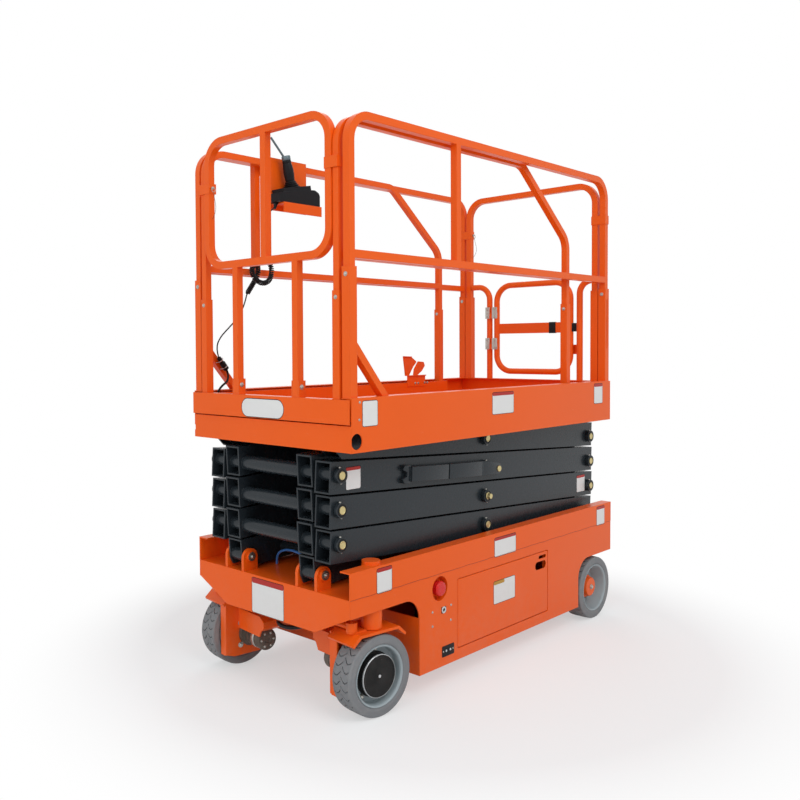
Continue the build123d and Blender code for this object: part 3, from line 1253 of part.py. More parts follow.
stick_profile = [  # radius, height over the lid
    (0.0, -8.0),
    (BOOT_RADII[0], -8.0),
    (BOOT_RADII[0], 0.0),
    (BOOT_RADII[1], BOOT_HEIGHTS[0]),
    (BOOT_RADII[2], sum(BOOT_HEIGHTS)),
    (GRIP_RADII[0], sum(BOOT_HEIGHTS)),
    (GRIP_RADII[1], GRIP_LENGTH),
    (GRIP_RADII[0] - 1, GRIP_LENGTH),
    (GRIP_RADII[0] - 1, GRIP_LENGTH + HEAD_LENGTH - 4),
    (GRIP_RADII[0] - 5, GRIP_LENGTH + HEAD_LENGTH),
    (0.0, GRIP_LENGTH + HEAD_LENGTH),
]
stick = revolve(make_face(Polyline(*[(r, 0, z) for r, z in stick_profile], close=True)), Axis.Z)
stick_base = Vector(STICK_X, BOX_MIDDLE_Y, plate_z + CONTROL_PLATE_RISE)
control += Pos(*stick_base) * Rot(0, STICK_LEAN, 0) * stick
parts["control_box"] = control

lean = math.radians(STICK_LEAN)
rod_low = stick_base + Vector(math.sin(lean), 0, math.cos(lean)) * (GRIP_LENGTH + HEAD_LENGTH - 6)
rod_line = Vector(HANDLE_ROD_RUN, 0, HANDLE_ROD_RISE)
rod_plane = Plane(origin=rod_low, z_dir=rod_line)
parts["handle_rod"] = extrude(rod_plane * Circle(HANDLE_ROD_RADIUS), amount=rod_line.length) - control

parts["cable_lead"] = cable(CABLE_LEAD, CABLE_RADIUS)
parts["cable_curl"] = cable(CABLE_CURL, CURL_RADIUS)
parts["cable_tail"] = cable(CABLE_TAIL, CABLE_RADIUS)
plug_start = Vector(*CABLE_TAIL[-1])
plug_line = Vector(*PLUG_END) - plug_start
plug_plane = Plane(origin=plug_start, z_dir=plug_line)
socket_plane = Plane(origin=plug_start + plug_line * PLUG_SHARE, z_dir=plug_line)
plug = extrude(plug_plane * Circle(PLUG_RADIUS), amount=plug_line.length * PLUG_SHARE)
plug += extrude(socket_plane * Circle(SOCKET_BODY_RADIUS), amount=plug_line.length * (1 - PLUG_SHARE))
parts["cable_plug"] = plug
parts["socket_conduit"] = cable(CONDUIT, CONDUIT_RADIUS)
parts["drive_hose"] = cable(HOSE, HOSE_RADIUS)
parts["lift_hose"] = cable(LIFT_HOSE, LIFT_HOSE_RADIUS)

# ---------------------------------------------------------------- write the sub-parts
os.makedirs("parts", exist_ok=True)
for name, shape in parts.items():
    export_step(shape, f"parts/{name}.step")
    print(name, len(shape.solids()), round(shape.volume / 1000), "cm3")
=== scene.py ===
"""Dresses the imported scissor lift: paints, tyres, hardware, plates, control box and its curly cable."""

import json
import logging
import math
from collections.abc import Iterable, Sequence
from dataclasses import dataclass, field
from enum import Enum

import bmesh
import bpy
from mathutils import Matrix, Vector


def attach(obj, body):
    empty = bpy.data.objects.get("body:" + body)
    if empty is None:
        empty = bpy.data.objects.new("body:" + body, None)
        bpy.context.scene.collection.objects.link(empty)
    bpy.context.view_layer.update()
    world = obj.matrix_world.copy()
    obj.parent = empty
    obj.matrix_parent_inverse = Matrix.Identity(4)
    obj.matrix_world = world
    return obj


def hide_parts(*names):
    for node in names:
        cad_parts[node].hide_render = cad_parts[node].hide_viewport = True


log = logging.getLogger("scissor_lift")
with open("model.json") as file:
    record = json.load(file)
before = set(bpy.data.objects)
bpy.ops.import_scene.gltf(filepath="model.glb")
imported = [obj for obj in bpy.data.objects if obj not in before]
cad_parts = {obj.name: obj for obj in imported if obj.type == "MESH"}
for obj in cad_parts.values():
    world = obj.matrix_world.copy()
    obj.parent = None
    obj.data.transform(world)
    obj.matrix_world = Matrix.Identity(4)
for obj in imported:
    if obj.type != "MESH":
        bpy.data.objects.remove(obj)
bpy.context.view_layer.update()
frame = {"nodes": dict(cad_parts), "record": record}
MM = 0.001
Point = tuple[float, float, float]
Corner = tuple[float, float]
Outline = Sequence[Corner]
Socket = bpy.types.NodeSocket


class Side(Enum):
    """The machine's two sides, as the sign of Y."""

    LEFT = 1
    RIGHT = -1

    @property
    def word(self) -> str:
        """Lower-case name used in node names."""
        return self.name.lower()

    def span(self, first: float, second: float) -> list[float]:
        """Two distances from the middle plane as places on Y, lower first."""
        return sorted((self.value * first, self.value * second))

    def outward(self, x: float, distance: float, z: float) -> Matrix:
        """Matrix that lays a shape made about +Z outwards, at a distance from the middle plane."""
        return aimed((x, self.value * distance, z), (0, self.value, 0))


def new_object(name: str, data: bpy.types.ID) -> bpy.types.Object:
    """Make an object and link it to the scene.

    Args:
        name: Name of the object.
        data: Its mesh, curve, lamp or camera.

    Returns:
        The object.
    """
    made = bpy.data.objects.new(name, data)
    bpy.context.scene.collection.objects.link(made)
    return made


# ------------------------------------------------------------------ shader groups
class NodeKit:
    """Short calls for building one node tree."""

    def __init__(self, tree: bpy.types.NodeTree) -> None:
        """Keep the tree that the calls add to."""
        self.tree = tree

    def add(self, kind: str, **values: object) -> bpy.types.Node:
        """Add a node and set its properties.

        Args:
            kind: The node's class name without ShaderNode.
            **values: Properties of the node.

        Returns:
            The new node.
        """
        node = self.tree.nodes.new("ShaderNode" + kind)
        for key, value in values.items():
            setattr(node, key, value)
        return node

    def wire(self, source: Socket, target: Socket) -> None:
        """Link two sockets."""
        self.tree.links.new(source, target)

    def feed(self, target: Socket, value: object) -> None:
        """Link a socket into target, or set target's own value.

        Args:
            target: The input.
            value: Socket, number or colour.
        """
        if isinstance(value, Socket):
            self.wire(value, target)
        else:
            target.default_value = value

    def math(self, operation: str, first: object, second: object = 0.0, clamp: bool = False) -> Socket:
        """One Math node.

        Args:
            operation: Blender's name of the operation.
            first: Number or socket.
            second: Number or socket.
            clamp: Keep the result between 0 and 1.

        Returns:
            The node's output.
        """
        node = self.add("Math", operation=operation, use_clamp=clamp)
        self.feed(node.inputs[0], first)
        self.feed(node.inputs[1], second)
        return node.outputs[0]

    def noise(self, where: Socket, scale: object, detail: float, rough: float = 0.55) -> Socket:
        """One Noise Texture.

        Args:
            where: Coordinates.
            scale: Number or socket.
            detail: Number of finer layers.
            rough: Strength of the finer layers.

        Returns:
            Its factor.
        """
        node = self.add("TexNoise")
        self.wire(where, node.inputs["Vector"])
        self.feed(node.inputs["Scale"], scale)
        node.inputs["Detail"].default_value = detail
        node.inputs["Roughness"].default_value = rough
        return node.outputs["Fac"]

    def ramp(self, value: object, low: float, high: float, out: tuple[float, float] = (0.0, 1.0)) -> Socket:
        """Smooth step of a value.

        Args:
            value: Number or socket.
            low: Where the step starts.
            high: Where it ends.
            out: Results at the start and at the end.

        Returns:
            The node's output.
        """
        node = self.add("MapRange", interpolation_type="SMOOTHSTEP")
        fed = {"Value": value, "From Min": low, "From Max": high, "To Min": out[0], "To Max": out[1]}
        for key, given in fed.items():
            self.feed(node.inputs[key], given)
        return node.outputs["Result"]

    def mix(self, factor: object, first: object, second: object) -> Socket:
        """Mix of two colours.

        Args:
            factor: Share of the second, number or socket.
            first: Colour or socket.
            second: Colour or socket.

        Returns:
            The mixed colour.
        """
        node = self.add("Mix", data_type="RGBA")
        self.feed(node.inputs["Factor"], factor)
        self.feed(node.inputs[6], first)
        self.feed(node.inputs[7], second)
        return node.outputs[2]

    def blend(self, factor: Socket, first: Socket, second: Socket) -> Socket:
        """Mix of two shaders.

        Args:
            factor: Share of the second.
            first: Shader.
            second: Shader.

        Returns:
            The mixed shader.
        """
        node = self.add("MixShader")
        for given, target in zip((factor, first, second), node.inputs):
            self.wire(given, target)
        return node.outputs[0]

    def group(self, inner: bpy.types.NodeTree, values: dict[str, object]) -> bpy.types.bpy_prop_collection:
        """Place a node group with its own values.

        Args:
            inner: The group's tree.
            values: Input name to value.

        Returns:
            The outputs of the group's node.
        """
        node = self.add("Group", node_tree=inner)
        for key, value in values.items():
            self.feed(node.inputs[key], value)
        return node.outputs

    def backdrop_rays(self) -> Socket:
        """Mask of the rays that see the pale backdrop: from the camera, through glass and off gloss.

        Returns:
            1 for those rays, 0 for the others.
        """
        path = self.add("LightPath").outputs
        seen = self.math("MAXIMUM", path["Is Camera Ray"], path["Is Transmission Ray"])
        return self.math("MAXIMUM", seen, path["Is Glossy Ray"])


def empty_tree(holder: bpy.types.Material | bpy.types.World) -> NodeKit:
    """Give a material or a world an empty node tree.

    Args:
        holder: The material or the world.
    """
    holder.use_nodes = True
    holder.node_tree.nodes.clear()
    return NodeKit(holder.node_tree)


def new_group(
    name: str, inputs: dict[str, tuple[str, object]], outputs: dict[str, str]
) -> tuple[NodeKit, bpy.types.bpy_prop_collection, bpy.types.bpy_prop_collection]:
    """Start a shader group.

    Args:
        name: The group's name.
        inputs: Socket name to its kind and default.
        outputs: Socket name to its kind.
    """
    tree = bpy.data.node_groups.new(name, "ShaderNodeTree")
    for key, (kind, value) in inputs.items():
        socket = tree.interface.new_socket(name=key, in_out="INPUT", socket_type="NodeSocket" + kind)
        socket.default_value = value
    for key, kind in outputs.items():
        tree.interface.new_socket(name=key, in_out="OUTPUT", socket_type="NodeSocket" + kind)
    given = tree.nodes.new("NodeGroupInput").outputs
    return NodeKit(tree), given, tree.nodes.new("NodeGroupOutput").inputs


def weathering_group() -> bpy.types.NodeTree:
    """Tone drift, dust that gathers low down, and scuffs: a colour and a roughness from a clean one.

    Returns:
        The group's tree.
    """
    kit, given, out = new_group(
        "weathering",
        {
            "Colour": ("Color", (0.8, 0.8, 0.8, 1)),
            "Dust Colour": ("Color", (0.45, 0.42, 0.38, 1)),
            "Dust": ("Float", 0.3),
            "Drift": ("Float", 0.08),
            "Scuffs": ("Float", 0.3),
            "Roughness": ("Float", 0.4),
        },
        {"Colour": "Color", "Roughness": "Float"},
    )
    noise_mean = 0.5
    scuffed = (0.75, 0.72, 0.68, 1)
    where = kit.add("TexCoord").outputs["Object"]
    height = kit.add("SeparateXYZ")
    kit.wire(where, height.inputs[0])
    broad = kit.noise(where, scale=2.2, detail=3.0)
    fine = kit.noise(where, scale=34.0, detail=6.0, rough=0.65)
    stretch = kit.add("Mapping")
    kit.wire(where, stretch.inputs["Vector"])
    stretch.inputs["Scale"].default_value = (9.0, 9.0, 70.0)
    streak = kit.noise(stretch.outputs["Vector"], scale=1.4, detail=5.0, rough=0.7)
    tone = kit.math("MULTIPLY", kit.math("SUBTRACT", broad, noise_mean), given["Drift"])
    bright = kit.add("HueSaturation")
    kit.feed(bright.inputs["Value"], kit.math("ADD", 1.0, tone))
    kit.wire(given["Colour"], bright.inputs["Color"])
    low_down = kit.ramp(height.outputs["Z"], low=0.0, high=0.55, out=(1.0, 0.12))
    both = kit.math("ADD", kit.math("MULTIPLY", broad, 0.5), kit.math("MULTIPLY", fine, 0.5))
    patch = kit.ramp(both, low=0.42, high=0.68)
    dust = kit.math("MULTIPLY", kit.math("MULTIPLY", patch, low_down), given["Dust"], clamp=True)
    scuff = kit.math("MULTIPLY", kit.ramp(streak, low=0.64, high=0.72), kit.ramp(fine, low=0.5, high=0.62))
    scuff = kit.math("MULTIPLY", scuff, given["Scuffs"], clamp=True)
    dusted = kit.mix(dust, bright.outputs["Color"], given["Dust Colour"])
    kit.wire(kit.mix(kit.math("MULTIPLY", scuff, 0.4), dusted, scuffed), out["Colour"])
    matt = kit.math("ADD", given["Roughness"], kit.math("MULTIPLY", dust, 0.35))
    matt = kit.math("ADD", matt, kit.math("MULTIPLY", scuff, 0.3))
    uneven = kit.math("MULTIPLY", kit.math("SUBTRACT", fine, noise_mean), 0.16)
    kit.wire(kit.math("ADD", matt, uneven, clamp=True), out["Roughness"])
    return kit.tree


def soft_edge_group() -> bpy.types.NodeTree:
    """Rounded normals at edges, with a fine relief, and a mask of the edges themselves.

    Returns:
        The group's tree.
    """
    kit, given, out = new_group(
        "soft edge",
        {"Relief Scale": ("Float", 300.0), "Relief": ("Float", 0.03), "Edge Wear": ("Float", 0.3)},
        {"Normal": "Vector", "Edge Mask": "Float"},
    )
    edge_radius = 2.2 * MM
    relief_depth = 0.6 * MM
    bevel = kit.add("Bevel", samples=6)
    bevel.inputs["Radius"].default_value = edge_radius
    where = kit.add("TexCoord").outputs["Object"]
    grain = kit.noise(where, given["Relief Scale"], detail=2.0)
    bump = kit.add("Bump")
    bump.inputs["Distance"].default_value = relief_depth
    kit.feed(bump.inputs["Strength"], given["Relief"])
    kit.wire(grain, bump.inputs["Height"])
    kit.wire(bevel.outputs[0], bump.inputs["Normal"])
    kit.wire(bump.outputs[0], out["Normal"])
    flat = kit.add("NewGeometry").outputs["True Normal"]
    turn = kit.add("VectorMath", operation="DOT_PRODUCT")
    kit.wire(bevel.outputs[0], turn.inputs[0])
    kit.wire(flat, turn.inputs[1])
    edge = kit.ramp(turn.outputs["Value"], low=0.985, high=0.86)
    chips = kit.ramp(kit.noise(where, scale=60.0, detail=5.0, rough=0.7), low=0.5, high=0.66)
    mask = kit.math("MULTIPLY", kit.math("MULTIPLY", edge, chips), given["Edge Wear"], clamp=True)
    kit.wire(mask, out["Edge Mask"])
    return kit.tree


WEATHERING = weathering_group()
SOFT_EDGE = soft_edge_group()


# ------------------------------------------------------------------ finishes
@dataclass(frozen=True)
class Finish:
    """One weathered finish on a Principled surface. takes_after is its slot, where that isn't its name."""

    name: str
    colour: tuple[float, float, float]
    roughness: float = 0.4
    metallic: float = 0.0
    coat: float = 0.0
    coat_roughness: float = 0.12
    dust: float = 0.25
    drift: float = 0.10
    scuffs: float = 0.25
    relief: float = 0.04
    relief_scale: float = 300.0
    wear: float = 0.3
    wear_colour: tuple[float, float, float] = (0.30, 0.29, 0.28)
    specular: float = 0.5
    takes_after: str = ""

    @property
    def slot(self) -> str:
        """The record's material slot that this finish takes after."""
        return self.takes_after or self.name

    def material(self) -> bpy.types.Material:
        """Build the material once.

        Returns:
            The material of this finish.
        """
        title = "finish_" + self.name
        old = bpy.data.materials.get(title)
        if old:
            return old
        made = bpy.data.materials.new(title)
        kit = empty_tree(made)
        out = kit.add("OutputMaterial")
        surface = kit.add("BsdfPrincipled")
        kit.wire(surface.outputs[0], out.inputs["Surface"])
        weather = kit.group(
            WEATHERING,
            {
                "Colour": (*self.colour, 1),
                "Dust": self.dust,
                "Drift": self.drift,
                "Scuffs": self.scuffs,
                "Roughness": self.roughness,
            },
        )
        edge = kit.group(
            SOFT_EDGE, {"Relief": self.relief, "Relief Scale": self.relief_scale, "Edge Wear": self.wear}
        )
        colour = kit.mix(edge["Edge Mask"], weather["Colour"], (*self.wear_colour, 1))
        kit.wire(colour, surface.inputs["Base Color"])
        kit.wire(weather["Roughness"], surface.inputs["Roughness"])
        kit.wire(edge["Normal"], surface.inputs["Normal"])
        surface.inputs["Metallic"].default_value = self.metallic
        surface.inputs["Coat Weight"].default_value = self.coat
        surface.inputs["Coat Roughness"].default_value = self.coat_roughness
        surface.inputs["Specular IOR Level"].default_value = self.specular
        return made


ORANGE = Finish(
    "orange_paint", (0.90, 0.118, 0.006), 0.32, dust=0.08, drift=0.08, scuffs=0.25,
    wear=0.16, wear_colour=(0.62, 0.14, 0.05), specular=0.20,
)
# Darker orange for the ridge along the chassis's fold line: painted shade of the crease.
CREASE_SHADE = Finish(
    "orange_weld", (0.52, 0.060, 0.010), 0.45, dust=0.2, relief=0.5, relief_scale=300,
    wear=0.1, specular=0.25, takes_after="orange_paint",
)
GREY = Finish(
    "scissor_grey", (0.018, 0.024, 0.029), 0.27, dust=0.03, scuffs=0.3,
    wear=0.6, wear_colour=(0.14, 0.16, 0.18), specular=0.28,
)
TYRE = Finish(
    "tyre_grey", (0.22, 0.227, 0.235), 0.75, dust=0.25, drift=0.2, scuffs=0.1, relief=0.25,
    relief_scale=420, wear=0.25, wear_colour=(0.30, 0.30, 0.30), specular=0.2,
)
RIM = Finish(
    "rim_grey", (0.345, 0.405, 0.425), 0.40, dust=0.15, wear=0.5, wear_colour=(0.50, 0.52, 0.52),
    specular=0.35, takes_after="hub_grey",
)
HUB = Finish(
    "hub_black", (0.008, 0.008, 0.008), 0.42, dust=0.04, wear=0.2, wear_colour=(0.15, 0.15, 0.15), specular=0.2
)
ZINC = Finish("zinc", (0.46, 0.455, 0.42), 0.34, metallic=0.9, dust=0.15, relief=0.1, wear=0.2)
BRASS = Finish("zinc_yellow", (0.60, 0.50, 0.24), 0.38, metallic=0.75, dust=0.1, wear=0.2, takes_after="zinc")
CHROME = Finish("chrome_rod", (0.72, 0.73, 0.75), 0.12, metallic=1.0, dust=0.05, scuffs=0.1, relief=0.01)
MOTOR = Finish(
    "motor_brown", (0.095, 0.072, 0.055), 0.5, metallic=0.3, dust=0.25, relief=0.4, relief_scale=160,
    wear=0.4, wear_colour=(0.25, 0.23, 0.2), specular=0.3,
)
PLASTIC = Finish(
    "black_plastic", (0.008, 0.008, 0.010), 0.48, dust=0.03, relief=0.2, relief_scale=700,
    wear=0.5, wear_colour=(0.11, 0.12, 0.13), specular=0.16,
)
RED = Finish("red_plastic", (0.70, 0.012, 0.010), 0.26, coat=0.15, dust=0.02, wear=0.02, specular=0.3)
CABLE = Finish(
    "cable_black", (0.006, 0.006, 0.007), 0.44, dust=0.03, relief=0.1,
    wear=0.25, wear_colour=(0.10, 0.11, 0.12), specular=0.2,
)
BATTERY = Finish("battery_case", (0.05, 0.05, 0.055), 0.6, dust=0.3)
PLATE = Finish(
    "plate_white", (0.78, 0.78, 0.76), 0.34, dust=0.15, scuffs=0.4, relief=0.02, wear=0.1, takes_after="zinc"
)
PLATE_RED = Finish(
    "plate_red", (0.45, 0.022, 0.016), 0.36, dust=0.05, relief=0.02, wear=0.1, specular=0.25,
    takes_after="red_plastic",
)
PLATE_AMBER = Finish(
    "plate_amber", (0.50, 0.27, 0.03), 0.36, dust=0.05, relief=0.02, wear=0.1, specular=0.25, takes_after="zinc"
)
STEEL_BLUE = Finish(
    "steel_blue", (0.115, 0.165, 0.185), 0.36, metallic=0.35, dust=0.1, relief=0.05,
    wear=0.4, wear_colour=(0.35, 0.40, 0.42), specular=0.3, takes_after="zinc",
)
PLATE_STEEL = Finish(
    "plate_steel", (0.60, 0.61, 0.62), 0.32, metallic=0.6, dust=0.15, relief=0.05, wear=0.3, takes_after="zinc"
)
HOSE_BLUE = Finish("hose_blue", (0.06, 0.20, 0.55), 0.35, dust=0.05, wear=0.0)

SLOT_FINISH = {
    finish.slot: finish
    for finish in (ORANGE, GREY, TYRE, HUB, RIM, ZINC, CHROME, MOTOR, PLASTIC, RED, CABLE, BATTERY, HOSE_BLUE)
}


# ------------------------------------------------------------------ studio
@dataclass(frozen=True)
class Lamp:
    """One square soft lamp: where it hangs, what it aims at, its edge in metres and its power."""

    name: str
    place: Point
    target: Point
    size: float
    watts: float

    def build(self) -> None:
        """Make the lamp."""
        data = bpy.data.lights.new(self.name, "AREA")
        data.size = self.size
        data.energy = self.watts
        lamp = new_object(self.name, data)
        lamp.location = self.place
        aim = Vector(self.target) - Vector(self.place)
        lamp.rotation_euler = aim.to_track_quat("-Z", "Y").to_euler()


@dataclass
class Studio:
    """Floor, soft lights and the camera."""

    eye: Point = (2.9927, 2.3696, 1.2871)
    yaw: float = 3.930
    dip: float = 0.031
    roll: float = -0.0069
    lens: float = 38.77
    sensor: float = 36
    nearest: float = 0.05
    shift: tuple[float, float] = (0.10, -0.0324)
    lamps: tuple[Lamp, ...] = (
        Lamp("key", (1.2, 4.2, 4.6), (0, 0, 0.9), 3.4, 112),
        Lamp("front", (5.0, 0.6, 2.6), (0, 0, 0.9), 3.2, 58),
        Lamp("back", (-3.6, -3.4, 4.2), (0, 0, 1.0), 3.0, 48),
    )
    dome_colour: tuple[float, ...] = (0.93, 0.96, 1.0, 1)
    dome_strength: float = 0.50
    floor_colour: tuple[float, ...] = (0.90, 0.90, 0.90, 1)
    floor_reach: float = 30.0
    floor_drop: float = 0.0005
    white_from: float = 0.6
    white_at: float = 1.8
    least_white: float = 0.5

    def build(self) -> None:
        """Make the camera, the world, the lamps and the floor."""
        self.camera()
        self.world()
        for lamp in self.lamps:
            lamp.build()
        self.floor()

    def camera(self) -> None:
        """Camera at the product view."""
        ahead = Vector((
            math.cos(self.yaw) * math.cos(self.dip),
            math.sin(self.yaw) * math.cos(self.dip),
            -math.sin(self.dip),
        ))
        right = Vector((math.sin(self.yaw), -math.cos(self.yaw), 0))
        up = right.cross(ahead)
        turned_right = math.cos(self.roll) * right + math.sin(self.roll) * up
        turned_up = -math.sin(self.roll) * right + math.cos(self.roll) * up
        data = bpy.data.cameras.new("product_view")
        data.lens = self.lens
        data.sensor_width = self.sensor
        data.shift_x, data.shift_y = self.shift
        data.clip_start = self.nearest
        camera = new_object("product_view", data)
        turn = Matrix((turned_right, turned_up, -ahead)).transposed().to_4x4()
        camera.matrix_world = Matrix.Translation(self.eye) @ turn
        bpy.context.scene.camera = camera

    def world(self) -> None:
        """White to the camera, a soft plain dome to the object."""
        world = bpy.data.worlds.new("studio")
        kit = empty_tree(world)
        out = kit.add("OutputWorld")
        backdrop = kit.add("Background")
        backdrop.inputs["Color"].default_value = (1, 1, 1, 1)
        backdrop.inputs["Strength"].default_value = 1.0
        dome = kit.add("Background")
        dome.inputs["Color"].default_value = self.dome_colour
        dome.inputs["Strength"].default_value = self.dome_strength
        both = kit.blend(kit.backdrop_rays(), dome.outputs[0], backdrop.outputs[0])
        kit.wire(both, out.inputs["Surface"])
        bpy.context.scene.world = world

    def floor(self) -> None:
        """Pale floor that keeps the shadow and fades to white far off."""
        mesh = bpy.data.meshes.new("floor")
        corners = [(x * self.floor_reach, y * self.floor_reach, 0) for x, y in ((-1, -1), (1, -1), (1, 1), (-1, 1))]
        mesh.from_pydata(corners, [], [(0, 1, 2, 3)])
        floor = new_object("floor", mesh)
        floor.location.z = -self.floor_drop
        paint = bpy.data.materials.new("floor")
        kit = empty_tree(paint)
        out = kit.add("OutputMaterial")
        matt = kit.add("BsdfDiffuse")
        matt.inputs["Color"].default_value = self.floor_colour
        glow = kit.add("Emission")
        far = kit.add("VectorMath", operation="LENGTH")
        kit.wire(kit.add("TexCoord").outputs["Object"], far.inputs[0])
        fade = kit.ramp(far.outputs["Value"], self.white_from, self.white_at)
        fade = kit.math("MAXIMUM", fade, self.least_white)
        white = kit.math("MULTIPLY", fade, kit.backdrop_rays())
        kit.wire(kit.blend(white, matt.outputs[0], glow.outputs[0]), out.inputs["Surface"])
        floor.data.materials.append(paint)


# ------------------------------------------------------------------ meshes
def skin(bm: bmesh.types.BMesh, rings: Sequence[list[bmesh.types.BMVert]], caps: bool = True) -> None:
    """Skin a row of closed rings with quads.

    Args:
        bm: The mesh that holds them.
        rings: Rings with the same count. A ring of one vertex is a pole.
        caps: Close the two ends.
    """
    for first, second in zip(rings, rings[1:]):
        count = max(len(first), len(second))
        for i in range(count):
            j = (i + 1) % count
            face = []
            for ring, k in ((first, i), (first, j), (second, j), (second, i)):
                vert = ring[k % len(ring)]
                if vert not in face:
                    face.append(vert)
            bm.faces.new(face)
    if caps:
        for end in (rings[0], rings[-1]):
            if len(end) > 2:
                bm.faces.new(end)


class Shape:
    """Mesh under construction, in millimetres."""

    def __init__(self) -> None:
        """Start empty."""
        self.bm = bmesh.new()

    def box(self, low: Sequence[float], high: Sequence[float], bevel: float) -> "Shape":
        """Block between two corners with rounded edges."""
        outline = [(low[0], low[1]), (high[0], low[1]), (high[0], high[1]), (low[0], high[1])]
        return self.prism(outline, "z", (low[2], high[2]), bevel)

    def prism(self, outline: Outline, axis: str, span: Sequence[float], bevel: float) -> "Shape":
        """Outline pushed along an axis, with rounded edges.

        Args:
            outline: Corners in the two other axes, in the order x, y, z.
            axis: The axis that it is pushed along.
            span: Two values on that axis.
            bevel: Rounding of its edges, 0 for none.

        Returns:
            This shape.
        """
        sharpest_smooth = 0.5
        at = {"x": lambda a, b, c: (c, a, b), "y": lambda a, b, c: (a, c, b), "z": lambda a, b, c: (a, b, c)}[axis]
        part = bmesh.new()
        rings = [[part.verts.new(at(a, b, c)) for a, b in outline] for c in span]
        skin(part, rings)
        bmesh.ops.recalc_face_normals(part, faces=part.faces)
        if bevel:
            sharp = [e for e in part.edges if e.calc_face_angle(0.0) > sharpest_smooth]
            bmesh.ops.bevel(
                part, geom=sharp, offset=bevel, segments=2, profile=0.6, affect="EDGES", clamp_overlap=True
            )
        return self.take(part)

    def rings(self, rings: Sequence[Iterable[Point]], caps: bool = True) -> "Shape":
        """Closed solid through rings of corners.

        Args:
            rings: Corners of each ring. A ring of one corner is a pole.
            caps: Close the two ends, otherwise join them where they aren't poles.

        Returns:
            This shape.
        """
        part = bmesh.new()
        made = [[part.verts.new(corner) for corner in ring] for ring in rings]
        if not caps and len(made[0]) > 1:
            made.append(made[0])
        skin(part, made, caps)
        bmesh.ops.recalc_face_normals(part, faces=part.faces)
        return self.take(part)

    def lathe(self, profile: Outline, steps: int) -> "Shape":
        """Closed solid of revolution about +Z.

        Args:
            profile: Corners as (radius, height), with both ends on the axis, or none of them and then joined.
            steps: Corners of a full turn.

        Returns:
            This shape.
        """
        turn = [math.tau * i / steps for i in range(steps)]
        return self.rings(
            [
                [(r * math.cos(a), r * math.sin(a), height) for a in turn] if r else [(0, 0, height)]
                for r, height in profile
            ],
            caps=False,
        )

    def tube(self, points: Sequence[Point], radius: float, sides: int = 12, closed: bool = False) -> "Shape":
        """Round bar along points.

        Args:
            points: Centre line.
            radius: Radius of the bar.
            sides: Corners of its section.
            closed: Join the last point to the first.

        Returns:
            This shape.
        """
        line = [Vector(p) for p in points]
        count = len(line)
        turn = [math.tau * k / sides for k in range(sides)]
        rings = []
        normal = None
        for i, here in enumerate(line):
            before = line[i - 1] if i or closed else here
            after = line[(i + 1) % count] if i + 1 < count or closed else here
            ahead = (after - before).normalized()
            if normal is None:
                normal = ahead.orthogonal().normalized()
            normal = (normal - ahead * normal.dot(ahead)).normalized()
            other = ahead.cross(normal)
            rings.append([here + radius * (math.cos(a) * normal + math.sin(a) * other) for a in turn])
        return self.rings(rings, caps=not closed)

    def take(self, part: bmesh.types.BMesh) -> "Shape":
        """Move another mesh into this one.

        Args:
            part: The other mesh, which is used up.

        Returns:
            This shape.
        """
        mesh = bpy.data.meshes.new("part")
        part.to_mesh(mesh)
        part.free()
        self.bm.from_mesh(mesh)
        bpy.data.meshes.remove(mesh)
        return self

    def add(self, other: "Shape") -> "Shape":
        """Take another shape in. The other one is used up."""
        return self.take(other.bm)

    def place(self, matrix: Matrix) -> "Shape":
        """Move, turn or mirror the whole shape.

        Args:
            matrix: Where it goes, in millimetres.

        Returns:
            This shape.
        """
        bmesh.ops.transform(self.bm, matrix=matrix, verts=self.bm.verts)
        if matrix.to_3x3().determinant() < 0:
            bmesh.ops.reverse_faces(self.bm, faces=self.bm.faces)
        return self

    def mesh(self, name: str) -> bpy.types.Mesh:
        """Finish the mesh, with sharp edges marked. The shape is used up.

        Args:
            name: Name of the mesh.

        Returns:
            The mesh, in metres.
        """
        sharp_degrees = 34
        mesh = bpy.data.meshes.new(name)
        self.bm.to_mesh(mesh)
        self.bm.free()
        mesh.transform(Matrix.Scale(MM, 4))
        for face in mesh.polygons:
            face.use_smooth = True
        mesh.set_sharp_from_angle(angle=math.radians(sharp_degrees))
        return mesh


def seat(mesh: bpy.types.Mesh, name: str, body: str, finish: Finish, *stands_for: str) -> None:
    """Make a finished piece of a mesh that is already in place.

    Args:
        mesh: The mesh, in metres.
        name: Name of the piece.
        body: Body that it rides on.
        finish: Its finish.
        *stands_for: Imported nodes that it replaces.
    """
    piece = new_object(name, mesh)
    mesh.materials.clear()
    mesh.materials.append(finish.material())
    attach(piece, body)
    if stands_for:
        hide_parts(*stands_for)
    log.info("%s rides on %s", name, body)


def aimed(place: Sequence[float], aim: Sequence[float]) -> Matrix:
    """Lay a shape that is made about +Z along another direction.

    Args:
        place: Where its origin goes.
        aim: Where its +Z points.

    Returns:
        The matrix.
    """
    turn = Vector((0, 0, 1)).rotation_difference(Vector(aim)).to_matrix().to_4x4()
    return Matrix.Translation(Vector(place)) @ turn


